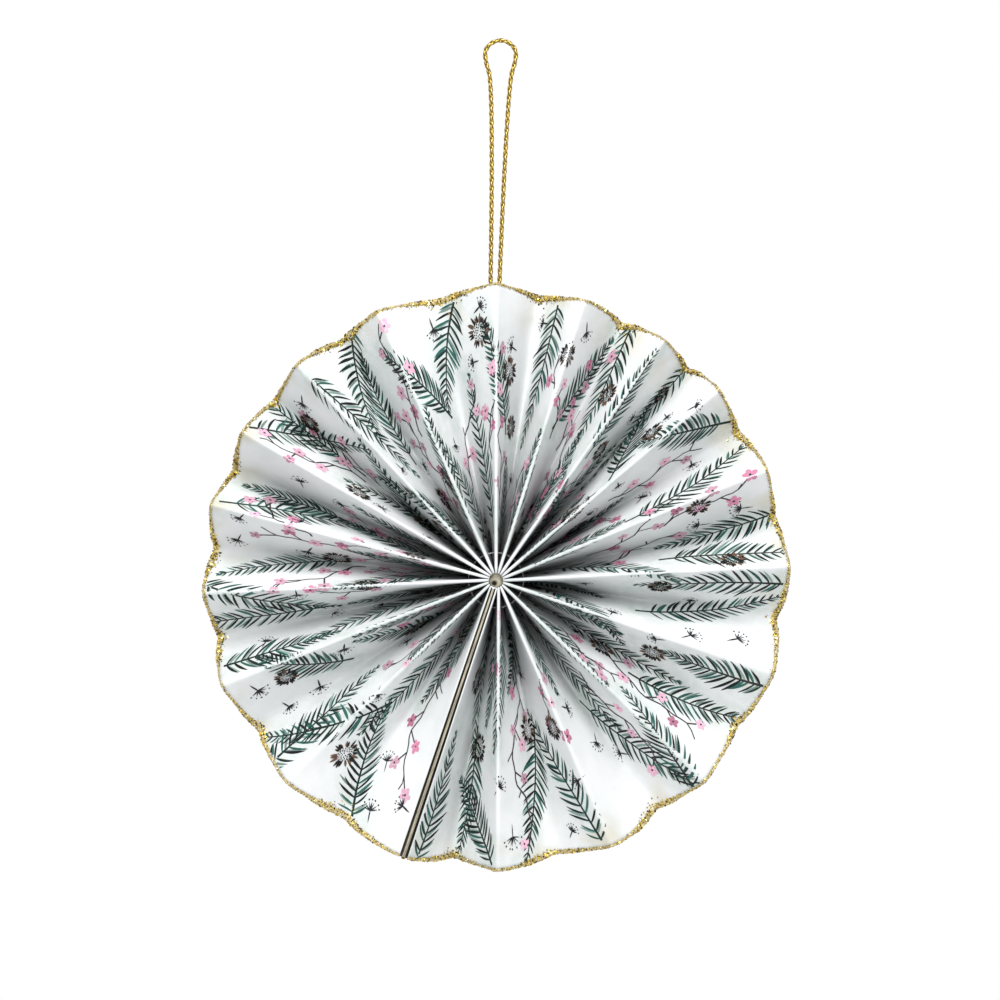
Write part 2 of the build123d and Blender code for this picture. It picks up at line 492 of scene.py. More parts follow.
@dataclass(frozen=True)
class CardFinish:
    """Uncoated cream card with darker fibres, and painted shade on its faces in the gap beside the paper."""

    cream: Colour = (0.52, 0.475, 0.345)
    fibre: Colour = (0.36, 0.32, 0.215)
    # Colour of the painted shade in the seam's gap.
    gap: Colour = (0.025, 0.02, 0.013)
    roughness: float = 0.75
    fleck: float = 0.8 * MM
    fleck_range: Range = (0.48, 0.7)
    relief: float = 0.03 * MM

    def material(self) -> Material:
        """Builds the material: cream flecked with fibre, rough, and painted shade in the gap beside the
        paper.
        """
        sheet = NodeSheet("cream_card")
        flecks = sheet.noise(self.fleck, 5.0)
        flecked = sheet.mix(sheet.spread(flecks, self.fleck_range), self.cream, self.fibre)
        # Painted shade where the gap attribute says.
        sheet.coat(sheet.mix(sheet.attribute("gap"), flecked, self.gap), self.roughness)
        sheet.bump(flecks, self.relief)
        return sheet.material


@dataclass(frozen=True)
class SetGlueFinish:
    """Set khaki glue: dull gloss, cloudy, with painted shade in its hollow."""

    khaki: Colour = (0.70, 0.645, 0.485)
    # Dark for the glue's clouds and for the painted shade in the hollow.
    dark: Colour = (0.035, 0.03, 0.02)
    roughness: float = 0.33
    cloud: float = 1.4 * MM
    cloud_range: Range = (0.5, 0.8)
    cloud_share: Range = (0.0, 0.5)
    relief: float = 0.2 * MM

    def material(self) -> Material:
        """Builds the material: khaki clouded with dark, slightly lumpy, and painted shade in the hollow."""
        sheet = NodeSheet("set_glue")
        clouds = sheet.noise(self.cloud, 3.0)
        clouded = sheet.mix(sheet.spread(clouds, self.cloud_range, self.cloud_share), self.khaki, self.dark)
        # Painted shade: the hollow's attribute darkens the glue towards the dark colour.
        sheet.coat(sheet.mix(sheet.attribute("hollow"), clouded, self.dark), self.roughness)
        sheet.bump(clouds, self.relief)
        return sheet.material


@dataclass
class PleatedStrip:
    """Form of the folded strip, shared by the sheet, its print, its glitter and its end cards.

    Ridge and valley folds are straight lines from the gathered hub to the rim. Panels are ruled between
    them, folds are rounded, and each panel bows and ripples a little more towards the rim.
    """

    openings: tuple[float, ...] = (
        27, 23, 18.5, 17.5, 15.5, 17, 19, 24, 17.5, 17.5, 14.5, 18.5, 19.5, 21.5, 25.5, 22.5, 23.5, 18
    )
    seam_turn: float = 198.5
    seam_gap_hub: float = 1.4 * MM
    seam_gap_rim: float = 2.2 * MM
    paper: float = 0.22 * MM
    hub_slack: float = 0.07 * MM
    widest_lean: float = 69.0
    ridge_softness: Range = (0.018, 0.06)
    valley_softness: Range = (0.02, 0.2)
    bow: float = 0.5 * MM
    ripple: float = 0.12 * MM
    ripple_waves: tuple[Pair, Pair] = ((1.6, 0.5), (3.1, -0.8))
    lobe: float = 0.6 * MM
    lobe_range: Range = (-0.3, 1.0)
    dip: float = 0.6 * MM
    dip_range: Range = (0.1, 1.5)
    dip_width: float = 0.2
    rounding: float = 0.25 * MM
    rounding_width: float = 0.09
    fold_reach_mm: tuple[float, ...] = (
        0, 0.2, -0.1, -0.5, 0.6, -0.5, 0.4, -0.8, 1.0, -0.7, 0.6, -0.2, 0.6, 0, 0.7, 0.3, 1.4, -0.1, 0.6,
        0.4, 0.6, -0.1, 0.5, -0.3, 0.3, 0.3, 0.6, -0.1, 0.3, 0.1, -0.4, -0.8, -0.4, -1.0, -0.4, -1.3, 0
    )
    rim_power: int = 8
    crest: float = 0.36 * MM
    crest_step: float = 0.3 * MM
    crest_close: float = 3 * MM
    crest_room: float = 0.3
    columns: tuple[float, ...] = (
        0, 0.012, 0.03, 0.06, 0.11, 0.18, 0.28, 0.39, 0.5, 0.61, 0.72, 0.82, 0.89, 0.94, 0.97, 0.988
    )
    rows: int = 56
    seed: int = 5
    depth: float = field(init=False)
    ridge_radius: float = field(init=False)
    hub_radius: float = field(init=False)
    length: float = field(init=False)
    pleats: int = field(init=False)
    panels: int = field(init=False)
    hub: Array = field(init=False)
    inner: Array = field(init=False)
    outer: Array = field(init=False)
    across: Array = field(init=False)
    shares: Array = field(init=False)
    middle: Array = field(init=False)
    normals: Array = field(init=False)

    def __post_init__(self) -> None:
        """Takes the fan's place and size from the frame and works out the sheet's grid."""
        low, high = corners(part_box("pleated_paper"))
        glue_low, glue_high = corners(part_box("centre_glue"))
        self.depth = high[1] - low[1]
        self.hub = (glue_low + glue_high) / 2
        self.hub[1] = (low[1] + high[1]) / 2
        self.ridge_radius = high[2] - self.hub[2]
        self.pleats = len(self.openings)
        self.panels = 2 * self.pleats
        self.hub_radius = (self.panels * (self.paper + self.hub_slack) + self.seam_gap_hub) / math.tau
        self.length = self.ridge_radius - self.hub_radius
        even = np.ones(self.pleats)
        self.inner = self.fold_ring(self.hub_radius, self.seam_gap_hub, even, even * self.depth)
        openings = np.array(self.openings)
        half = np.sin(np.radians(openings / 2)) / math.sin(math.radians(openings.max() / 2))
        lean = np.arcsin(math.sin(math.radians(self.widest_lean)) * half)
        self.outer = self.fold_ring(self.ridge_radius, self.seam_gap_rim, openings, self.depth * np.cos(lean))
        columns = np.arange(self.panels)[:, None] + np.array(self.columns)
        self.across = np.append(columns.ravel(), self.panels)
        self.shares = np.linspace(0, 1, self.rows)
        self.shape_grid()

    def to_frame(self, right: Array, up: Array, front: Array) -> Array:
        """Points in the part's frame from their places right of, above and in front of the hub."""
        right, up, front = np.broadcast_arrays(right, up, front)
        return self.hub + np.stack([right, -front, up], axis=-1)

    def fold_ring(self, radius: float, seam_gap: float, openings: Array, depths: Array) -> Array:
        """Fold points at the hub or the rim, ridge and valley in turn.

        Ridges lie on a circle at turns that add up the openings from the seam. A valley lies on the
        chord between its ridges, at its own depth behind them.

        Args:
            radius: the ridges' distance from the hub.
            seam_gap: gap between the strip's two ends.
            openings: share of the turn that each pleat takes.
            depths: each valley's depth behind the ridges, outside to outside.

        Returns:
            Array of one more point than there are panels.
        """
        seam_half = math.asin(seam_gap / 2 / radius)
        span = (math.tau - 2 * seam_half) / openings.sum()
        turns = math.radians(self.seam_turn) + seam_half + span * np.append(0, np.cumsum(openings))
        middles = (turns[1:] + turns[:-1]) / 2
        chord = radius * np.cos(np.diff(turns) / 2)
        ridge_front = (self.depth - self.paper) / 2
        ring = np.empty((self.panels + 1, 3))
        ring[0::2] = self.to_frame(radius * np.sin(turns), radius * np.cos(turns), ridge_front)
        valley_front = ridge_front - depths + self.paper
        ring[1::2] = self.to_frame(chord * np.sin(middles), chord * np.cos(middles), valley_front)
        return ring

    def folds(self, shares: Array) -> Array:
        """Every fold's point at each share of the way from hub to rim."""
        return between(self.inner, self.outer, shares[:, None, None])

    def off_ridge(self) -> Array:
        """How far each column is from its nearest ridge: 0 on a ridge, 1 in a valley."""
        return np.abs((self.across + 1) % 2 - 1)

    def scalloped(self, chance: Chance) -> Array:
        """Shares of the way out that give the rim its soft scallops.

        The rim bulges on each panel by its own part of the sine of the way across it, dips at each valley in
        a bell curve of its own depth, and is rounded off at each ridge. Each fold also has its own reach,
        with a straight line from fold to fold. A high power of the share fades all this away from the rim.

        Args:
            chance: source of the dips' depths and the bulges' heights.

        Returns:
            Array of rows by columns.
        """
        panel = np.minimum(self.across.astype(int), self.panels - 1)
        wide = np.array(self.openings)[panel // 2] / max(self.openings)
        dips = chance.uniform(*self.dip_range, self.pleats)[panel // 2] * self.dip
        lobes = chance.uniform(*self.lobe_range, self.panels)[panel] * self.lobe * wide
        off_ridge = self.off_ridge()
        offset = lobes * np.sin(np.pi * off_ridge) - self.rounding * bell(off_ridge, self.rounding_width)
        offset = offset - dips * bell(1 - off_ridge, self.dip_width)
        offset = offset + np.interp(self.across, np.arange(self.panels + 1), self.fold_reach_mm) * MM
        return self.shares[:, None] + self.shares[:, None] ** self.rim_power * offset / self.length

    def ruled(self, shares: Array) -> Array:
        """Points of the folded sheet before it bows.

        A point lies on the straight line between its panel's two folds. Within a softness s of a fold, at
        distance d from it, it moves by the fold's bend times (s - d) squared over 4 s, which rounds the fold.

        Args:
            shares: places from hub to rim, rows by columns.

        Returns:
            Array of rows by columns by 3.
        """
        panel = np.clip(np.floor(self.across).astype(int), 0, self.panels - 1)
        part = (self.across - panel)[:, None]
        fold = np.clip(np.rint(self.across).astype(int), 1, self.panels - 1)
        ends = np.where((fold % 2 == 0)[:, None], self.ridge_softness, self.valley_softness)
        softness = between(ends[:, 0], ends[:, 1], shares)
        near = np.maximum(softness - np.abs(self.across - fold), 0)
        rounded = (near**2 / (4 * softness))[..., None]
        edges = []
        for ring in (self.inner, self.outer):
            bend = ring[fold - 1] - 2 * ring[fold] + ring[fold + 1]
            edges.append(between(ring[panel], ring[panel + 1], part) + bend * rounded)
        return between(*edges, shares[..., None])

    def crests(self) -> Array:
        """How far the sheet stands aside from its ridges, which makes each crest blunt towards the hub.

        Below a crest the sheet steps aside within a short distance and closes up again over a longer one.
        The step is at most a part of the pleats' spacing, and fades away towards the rim.

        Returns:
            Array of rows by columns by 3.
        """
        ridge = 2 * np.rint(self.across / 2).astype(int)
        below = np.abs(self.across - ridge) * self.depth
        profile = (1 - np.exp(-below / self.crest_step)) * np.exp(-below / self.crest_close)
        profile = profile * np.sign(self.across - ridge)
        spacing = (self.hub_radius + self.shares * self.length) * math.tau / self.pleats
        width = np.minimum(self.crest, self.crest_room * spacing) * (1 - self.shares)
        aside = np.cross(unit(self.outer - self.inner), [0.0, -1.0, 0.0])[ridge]
        return (width[:, None] * profile)[..., None] * aside

    def grid_normals(self, points: Array) -> Array:
        """Front normals of a grid of points: the way across turned onto the way outwards."""
        along = np.gradient(points, self.across, axis=1)
        outward = np.gradient(points, self.shares, axis=0)
        return unit(np.cross(along, outward))

    def shape_grid(self) -> None:
        """Works out the sheet's mid surface, bowed and rippled, and its front normals.

        A panel bows by its own height times the sine of its width. Ripples are two crossed sines. Both grow
        with the share, and are nothing on the two end panels, which are glued to their cards.
        """
        chance = np.random.default_rng(self.seed)
        flat = self.ruled(self.scalloped(chance)) + self.crests()
        panel = np.minimum(self.across.astype(int), self.panels - 1)
        heights = chance.uniform(-1, 1, self.panels) * self.bow
        phases = chance.uniform(0, math.tau, (len(self.ripple_waves), self.panels))
        free = (panel > 0) & (panel < self.panels - 1)
        part = self.across - panel
        share = self.shares[:, None]
        waves = 0.0
        for (outward, along), phase in zip(self.ripple_waves, phases):
            waves = waves + np.sin(math.tau * (outward * share + along * part) + phase[panel])
        lift = share * (heights[panel] + self.ripple * waves) * np.sin(np.pi * part) * free
        self.middle = flat + self.grid_normals(flat) * lift[..., None]
        self.normals = self.grid_normals(self.middle)

    def face(self, side: float) -> Array:
        """Points of the sheet's front, side 1, or back, side -1."""
        return self.middle + self.normals * (side * self.paper / 2)

    def blend(self, values: Array, across: Array, share: Array) -> Array:
        """Grid values at any places, by the nearest four points of the grid.

        Args:
            values: array of rows by columns by 3.
            across: places along the strip, in panels.
            share: places from hub to rim, one for each.

        Returns:
            Three numbers for each place.
        """
        column = np.clip(np.searchsorted(self.across, across, "right") - 1, 0, len(self.across) - 2)
        row = np.clip(np.searchsorted(self.shares, share, "right") - 1, 0, len(self.shares) - 2)
        x = (across - self.across[column]) / (self.across[column + 1] - self.across[column])
        y = (share - self.shares[row]) / (self.shares[row + 1] - self.shares[row])
        near = between(values[row, column], values[row, column + 1], x[..., None])
        far = between(values[row + 1, column], values[row + 1, column + 1], x[..., None])
        return between(near, far, y[..., None])

    def on_front(self, flat: Array, lift: Array) -> Array:
        """Points just off the printed front.

        Args:
            flat: places on the unfolded strip in metres, along it and out from its gathered edge.
            lift: height off the paper.

        Returns:
            Points in the part's frame.
        """
        place = (flat[..., 0] / self.depth, flat[..., 1] / self.length)
        return self.blend(self.face(1), *place) + self.blend(self.normals, *place) * lift[..., None]


@dataclass
class FoldedSheet:
    """The printed paper itself: front, back and cut edges of the folded strip."""

    strip: PleatedStrip
    wash_reach: float = 5.5 * MM
    wash_strength: float = 0.65
    stain_reach: float = 7 * MM
    valley_shade_share: float = 0.42
    valley_shade_strength: float = 0.65
    valley_shade_from: float = 0.04
    valley_shade_fade: float = 0.22

    def build(self, stems: Array) -> Piece:
        """Makes the sheet and lays pale washes beside the printed stems.

        Args:
            stems: points on the unfolded strip that stems pass through.

        Returns:
            The finished piece.
        """
        rows, columns = len(self.strip.shares), len(self.strip.across)
        count = rows * columns
        front = grid_faces(rows, columns)
        back = front[:, ::-1] + count
        rim = self.border(rows, columns)
        edge = np.stack([rim + count, np.roll(rim, -1) + count, np.roll(rim, -1), rim], axis=-1)
        faces = np.concatenate([front, back, edge])
        points = np.concatenate([self.strip.face(1), self.strip.face(-1)])
        piece = add_mesh("paper_sheet", points, faces.tolist(), PaperFinish().material())
        add_values(piece, "wash", np.append(self.washes(stems), np.zeros(count)))
        from_rim = (1 - np.repeat(self.strip.shares, columns)) * self.strip.length
        add_values(piece, "stain", np.tile(bell(from_rim, self.stain_reach), 2))
        # Painted shade for the front's gathered folds; the back gets none.
        add_values(piece, "painted_valley_shade", np.append(self.depths(), np.zeros(count)))
        number = corner_numbers(piece)
        along = self.strip.across[number % columns] / self.strip.panels
        out = self.strip.shares[number % count // columns]
        behind = np.repeat(faces.min(axis=1) >= count, 4).astype(int)
        lay_in_rows(piece, along, out, behind, strips=2, rows=2)
        return settle(piece, "printed_paper", "pleated_paper")

    def depths(self) -> Array:
        """How far painted shade darkens each front point: most at the hub, and not on a ridge or near the
        rim.
        """
        below = np.clip((self.strip.off_ridge() - self.valley_shade_from) / self.valley_shade_fade, 0, 1)
        near = np.clip(1 - self.strip.shares / self.valley_shade_share, 0, 1)
        return self.valley_shade_strength * np.outer(near, below).ravel()

    def border(self, rows: int, columns: int) -> Array:
        """Numbers of the grid's outer points, once round from the gathered edge's start."""
        bottom = np.arange(columns)
        right = np.arange(1, rows) * columns + columns - 1
        top = (rows - 1) * columns + np.arange(columns - 2, -1, -1)
        left = np.arange(rows - 2, 0, -1) * columns
        return np.concatenate([bottom, right, top, left])

    def washes(self, stems: Array) -> Array:
        """Strength of the wash at each front point: it fades as a bell curve from the nearest stem."""
        across, share = np.meshgrid(self.strip.across, self.strip.shares)
        flat = np.stack([across * self.strip.depth, share * self.strip.length], axis=-1).reshape(-1, 1, 2)
        nearest = np.full(len(flat), np.inf)
        for stem in stems:
            nearest = np.minimum(nearest, np.linalg.norm(flat - stem[None], axis=-1).min(axis=1))
        return self.wash_strength * bell(nearest, self.wash_reach)


class Ink(Enum):
    """Colours of the print."""

    FERN = (0.012, 0.032, 0.027)
    FERN_TEAL = (0.028, 0.115, 0.095)
    FERN_BLACK = (0.008, 0.010, 0.010)
    FERN_PALE = (0.24, 0.33, 0.295)
    STEM = (0.025, 0.028, 0.026)
    TWIG = (0.05, 0.035, 0.038)
    PETAL = (0.63, 0.24, 0.37)
    PETAL_PALE = (0.75, 0.43, 0.55)
    SEED = (0.014, 0.009, 0.008)
    BRACT = (0.13, 0.075, 0.05)
    FLUFF = (0.022, 0.022, 0.028)


class Growth(Enum):
    """Which way a frond grows on the strip."""

    OUTWARD = 1
    HANGING = -1


Palette = dict[Ink, float]
PALE_FRONDS: Palette = {Ink.FERN_PALE: 0.85, Ink.FERN_TEAL: 0.15}
DARK_FRONDS: Palette = {Ink.FERN: 0.42, Ink.FERN_TEAL: 0.22, Ink.FERN_BLACK: 0.36}
STEMS: Palette = {Ink.STEM: 0.5, Ink.FERN: 0.5}
TWIGS: Palette = {Ink.TWIG: 0.6, Ink.STEM: 0.4}
STALKS: Palette = {Ink.TWIG: 1.0}
PETALS: Palette = {Ink.PETAL: 0.35, Ink.PETAL_PALE: 0.65}
SEEDS: Palette = {Ink.SEED: 1.0}
BRACTS: Palette = {Ink.SEED: 0.65, Ink.BRACT: 0.35}
HAIRS: Palette = {Ink.FLUFF: 1.0}


@dataclass
class InkLayer:
    """Tapered strokes and round dots, gathered and then laid on the paper as one thin mesh."""

    name: str
    lift: float
    lift_range: Range = (1.0, 1.6)
    margin: float = 0.3 * MM
    dot_sides: int = 12
    dot_rings: tuple[float, ...] = (0.04, 0.55, 1.0)
    points: list[Array] = field(default_factory=list)
    colours: list[Array] = field(default_factory=list)
    faces: list[Array] = field(default_factory=list)
    patch: list[Array] = field(default_factory=list)
    local: list[Array] = field(default_factory=list)
    count: int = 0
    patches: int = 0

    def add_patches(self, points: Array, faces: Array, colours: Array, local: Array) -> None:
        """Adds like patches.

        Args:
            points: patches by points by 2, on the unfolded strip.
            faces: quads of one patch.
            colours: one colour for each patch.
            local: place of each of a patch's points in a square, 0 to 1 both ways.
        """
        patches, size = points.shape[:2]
        first = self.count + np.arange(patches) * size
        self.faces.append((first[:, None, None] + faces[None]).reshape(-1, 4))
        self.points.append(points.reshape(-1, 2))
        self.colours.append(np.repeat(colours, size, axis=0))
        self.patch.append(np.repeat(self.patches + np.arange(patches), size))
        self.local.append(np.tile(local, (patches, 1)))
        self.count += patches * size
        self.patches += patches

    def strokes(self, paths: Array, widths: Array, colours: Array) -> None:
        """Adds ribbons: each path's points step aside by half a width, to its right and its left.

        Args:
            paths: strokes by points by 2, on the unfolded strip.
            widths: full width at each point of each stroke, or of all alike.
            colours: one colour for each stroke.
        """
        way = unit(np.gradient(paths, axis=1))
        aside = np.stack([way[..., 1], -way[..., 0]], axis=-1) * widths[..., None] / 2
        sides = np.stack([paths - aside, paths + aside], axis=2)
        stations = paths.shape[1]
        local = np.stack([np.repeat(np.linspace(0, 1, stations), 2), np.tile([0.0, 1.0], stations)], axis=-1)
        self.add_patches(sides.reshape(len(paths), -1, 2), grid_faces(stations, 2), colours, local)

    def dots(self, centres: Array, radii: Array, colours: Array, stretch: float, turns: Array) -> None:
        """Adds ovals: rings of points round a small middle ring, stretched one way and turned.

        Args:
            centres: middles on the unfolded strip.
            radii: mean radius of each.
            colours: one colour for each.
            stretch: length over width.
            turns: the way each is stretched, in radians.
        """
        ring = pointing(turns_round(self.dot_sides))
        disc = np.concatenate([ring * part for part in self.dot_rings])
        x, y = np.moveaxis(disc * radii[:, None, None] * [math.sqrt(stretch), 1 / math.sqrt(stretch)], -1, 0)
        cos, sin = np.cos(turns)[:, None], np.sin(turns)[:, None]
        turned = np.stack([x * cos - y * sin, x * sin + y * cos], axis=-1)
        faces = grid_faces(len(self.dot_rings), self.dot_sides, wrap=True)[:, ::-1]
        self.add_patches(centres[:, None] + turned, faces, colours, 0.5 + disc / 2)

    def lay(self, strip: PleatedStrip, material: Material, chance: Chance) -> Piece:
        """Lays the layer on the folded paper, without the parts that would overhang it or bridge a ridge.

        Args:
            strip: the folded strip.
            material: the ink.
            chance: source of the small differences in height that keep strokes apart.

        Returns:
            The finished piece.
        """
        flat = np.concatenate(self.points)
        patch = np.concatenate(self.patch)
        ends = np.array([strip.panels * strip.depth, strip.length]) - self.margin
        inside = ((flat > self.margin) & (flat < ends)).all(axis=1)
        faces = np.concatenate(self.faces)
        pleat = np.floor(flat[:, 0] / strip.depth / 2)[faces]
        whole = inside[faces].all(axis=1) & (pleat == pleat[:, :1]).all(axis=1)
        used, faces = np.unique(faces[whole], return_inverse=True)
        lift = self.lift * chance.uniform(*self.lift_range, self.patches)[patch[used]]
        points = strip.on_front(flat[used], lift)
        piece = add_mesh(self.name, points, faces.reshape(-1, 4).tolist(), material)
        add_colours(piece, "ink", np.concatenate(self.colours)[used])
        lay_in_cells(piece, patch[used], self.patches, np.concatenate(self.local)[used])
        return settle(piece, "printed_paper")


@dataclass(frozen=True)
class Room:
    """What a kind of motif needs: its count, and how far clear of others, apart and off the long edges."""

    count: int
    clear: float
    apart: float
    margin: float
    tries: int = 24


@dataclass
class WinterPrint:
    """Winter garden drawn on the unfolded strip: fern fronds, blossom twigs, seed heads, drifting seeds."""

    strip: PleatedStrip
    fronds: int = 78
    frond_length: Range = (28 * MM, 44 * MM)
    frond_start: Range = (-3 * MM, 5 * MM)
    frond_place: float = 0.45
    frond_lean: float = 30.0
    lean_wave: float = 26.0
    lean_step: float = 0.37
    frond_bend: float = 0.2
    stem_points: int = 24
    stem_width: float = 0.8 * MM
    stem_taper: float = 0.6
    bare_stem: float = 0.08
    frond_foot: float = 0.45
    frond_swell: float = 2.2
    frond_taper: float = 0.7
    frond_tip: float = 0.06
    leaflet_pairs: int = 17
    leaflet: float = 9.0 * MM
    leaflet_width: float = 0.85 * MM
    pale_widening: float = 1.15
    leaflet_points: int = 12
    leaflet_place: Range = (0.3, 0.7)
    leaflet_angle: Range = (64.0, 42.0)
    leaflet_sway: float = 6.0
    leaflet_size: Range = (0.85, 1.08)
    leaflet_curl: Range = (0.15, 0.45)
    leaflet_breadth: Range = (0.8, 1.1)
    leaflet_span: Range = (0.1, 0.98)
    leaflet_fullness: float = 0.8
    twig_room: Room = Room(38, 3.5 * MM, 13 * MM, 12 * MM)
    twig_length: Range = (20 * MM, 36 * MM)
    twig_lean: float = 40.0
    twig_points: int = 17
    twig_width: Range = (0.62 * MM, 0.34 * MM)
    twig_waver: tuple[Pair, Pair] = ((1.5 * MM, 8.0), (0.5 * MM, 23.0))
    stalk_angle: Range = (25.0, 60.0)
    stalk_length: Range = (2.0 * MM, 4.5 * MM)
    stalk_width: float = 0.42 * MM
    stalk_points: int = 4
    flowering: float = 0.85
    blossom_offset: float = 1.7
    petal: float = 0.8 * MM
    petals: int = 5
    petal_stretch: float = 1.35
    petal_size: Range = (0.85, 1.1)
    petal_sway: float = 0.1
    blossom_size: Range = (0.75, 1.15)
    eye: float = 0.42
    head_room: Room = Room(40, 2.0 * MM, 14 * MM, 7 * MM)
    seed_head: float = 3.9 * MM
    head_size: Range = (0.8, 1.1)
    head_disc: float = 0.5
    head_seeds: int = 38
    head_seed_length: float = 0.5 * MM
    head_seed_width: float = 0.42 * MM
    bracts: int = 22
    bract_start: float = 0.54
    bract_reach: Range = (0.34, 0.56)
    bract_sway: float = 0.09
    bract_width: float = 0.9 * MM
    drift_room: Room = Room(80, 5.2 * MM, 9 * MM, 4 * MM)
    drift: float = 3.2 * MM
    drift_size: Range = (0.65, 1.1)
    hairs: int = 7
    hair_fan: float = 1.3
    hair_sway: float = 0.06
    hair_reach: float = 0.72
    speck_start: float = 0.84
    hair_width: float = 0.42 * MM
    speck_width: float = 0.5 * MM
    ray_points: int = 5
    ray_breadth: Range = (0.65, 1.1)
    ray_span: Range = (0.25, 0.97)
    ink_strength: Range = (0.75, 1.3)
    seed: int = 42
    chance: Chance = field(init=False)
    width: float = field(init=False)
    pale: InkLayer = field(init=False)
    green: InkLayer = field(init=False)
    pink: InkLayer = field(init=False)
    brown: InkLayer = field(init=False)
    stems: Array = field(init=False)
    taken: Array = field(init=False)

    def __post_init__(self) -> None:
        """Starts the layers, the lowest first, and settles where the fronds' stems run."""
        self.chance = np.random.default_rng(self.seed)
        self.width = self.strip.panels * self.strip.depth
        self.pale = InkLayer("print_pale_fronds", 0.015 * MM)
        self.green = InkLayer("print_fronds", 0.03 * MM)
        self.pink = InkLayer("print_blossoms", 0.05 * MM)
        self.brown = InkLayer("print_seed_heads", 0.07 * MM)
        self.stems = self.grow_stems()
        self.taken = self.stems[:, ::3].reshape(-1, 2)

    def pick(self, palette: Palette, count: int) -> Array:
        """Colours drawn from a palette by its shares, each a little lighter or darker.

        Args:
            palette: inks, and how often each comes up.
            count: how many colours.

        Returns:
            Array of count by 3.
        """
        table = np.array([ink.value for ink in palette])
        chosen = table[self.chance.choice(len(palette), count, p=list(palette.values()))]
        return np.clip(chosen * self.chance.uniform(*self.ink_strength, (count, 1)), 0, 1)

    def grow_stems(self) -> Array:
        """Stems in four rows: two from near the hub, one from half way out, and one hung from the rim.

        Returns:
            Stems by points by 2, each a parabola from base to tip.
        """
        index = np.arange(self.fronds)
        rows = (
            (Growth.OUTWARD, 2 * MM),
            (Growth.HANGING, self.strip.length + 1 * MM),
            (Growth.OUTWARD, 9 * MM),
            (Growth.OUTWARD, 37 * MM),
        )
        way = np.array([growth.value for growth, _ in rows])[index % len(rows)][:, None]
        base = np.array([start for _, start in rows])[index % len(rows)]
        base = base + self.chance.uniform(*self.frond_start, self.fronds)
        place = self.chance.uniform(-self.frond_place, self.frond_place, self.fronds)
        along = (index + 0.5 + place) * self.width / self.fronds
        length = self.chance.uniform(*self.frond_length, self.fronds)
        sway = self.chance.uniform(-self.frond_lean, self.frond_lean, self.fronds)
        lean = np.radians(self.lean_wave * np.sin(index * self.lean_step) + sway)[:, None]
        bend = self.chance.uniform(-self.frond_bend, self.frond_bend, self.fronds) * length
        step = np.linspace(0, 1, self.stem_points)
        ahead = step * length[:, None]
        aside = bend[:, None] * step**2
        x = along[:, None] + ahead * np.sin(lean) + aside * np.cos(lean)
        y = base[:, None] + way * (ahead * np.cos(lean) - aside * np.sin(lean))
        return np.stack([x, y], axis=-1)

    def draw_fronds(self, layer: InkLayer, pairs: int, width: float, palette: Palette) -> None:
        """Draws leaflets in pairs along every stem.

        A frond is widest a quarter of the way up and narrows to its tip. A leaflet leaves the stem at an
        angle that narrows towards the tip and curves forward. Its width is a sine of its length, so both
        ends taper.

        Args:
            layer: where the strokes go.
            pairs: leaflets on each side of a stem.
            width: a large leaflet's width.
            palette: colours of the leaflets.
        """
        fronds, points = self.stems.shape[:2]
        jitter = self.chance.uniform(*self.leaflet_place, (fronds, pairs, 2))
        place = (np.arange(pairs)[None, :, None] + jitter) / pairs
        at = between(self.bare_stem, 1, place) * (points - 1)
        number = np.minimum(at.astype(int), points - 2)
        frond = np.arange(fronds)[:, None, None]
        before, after = self.stems[frond, number], self.stems[frond, number + 1]
        root = between(before, after, (at - number)[..., None])
        heading = np.arctan2(after[..., 1] - before[..., 1], after[..., 0] - before[..., 0])
        sway = self.chance.uniform(-self.leaflet_sway, self.leaflet_sway, place.shape)
        spread = np.radians(between(*self.leaflet_angle, place) + sway) * np.array([-1.0, 1.0])
        swell = np.minimum(1, self.frond_foot + self.frond_swell * place)
        outline = swell * (1 - place) ** self.frond_taper + self.frond_tip
        length = self.leaflet * outline * self.chance.uniform(*self.leaflet_size, place.shape)
        curl = self.chance.uniform(*self.leaflet_curl, place.shape)
        step = np.linspace(0, 1, self.leaflet_points)
        headings = pointing((heading + spread)[..., None] - (spread * curl)[..., None] * step)
        stride = (length / (len(step) - 1))[..., None, None]
        path = root[..., None, :] + np.cumsum(headings * stride, axis=-2) - headings[..., :1, :] * stride
        path = path.reshape(-1, len(step), 2)
        taper = np.sin(np.pi * between(*self.leaflet_span, step)) ** self.leaflet_fullness
        broad = width * (0.5 + 0.5 * outline) * self.chance.uniform(*self.leaflet_breadth, place.shape)
        layer.strokes(path, broad.reshape(-1, 1) * taper, self.pick(palette, len(path)))

    def draw_stems(self) -> None:
        """Draws the stems themselves, thin at the tip."""
        widths = self.stem_width * (1 - self.stem_taper * np.linspace(0, 1, self.stem_points))
        self.green.strokes(self.stems, widths, self.pick(STEMS, len(self.stems)))

    def open_places(self, room: Room) -> Array:
        """Places on the strip between the motifs, found by trying many and keeping those with room."""
        tries = self.chance.uniform(0, 1, (room.count * room.tries, 2))
        size = np.array([self.width, self.strip.length - 2 * room.margin])
        tries = np.array([0, room.margin]) + tries * size
        space = np.linalg.norm(tries[:, None] - self.taken[None], axis=-1).min(axis=1)
        kept = np.empty((0, 2))
        for spot in tries[space > room.clear]:
            if len(kept) < room.count and (np.linalg.norm(kept - spot, axis=1) > room.apart).all():
                kept = np.vstack([kept, spot])
        return kept

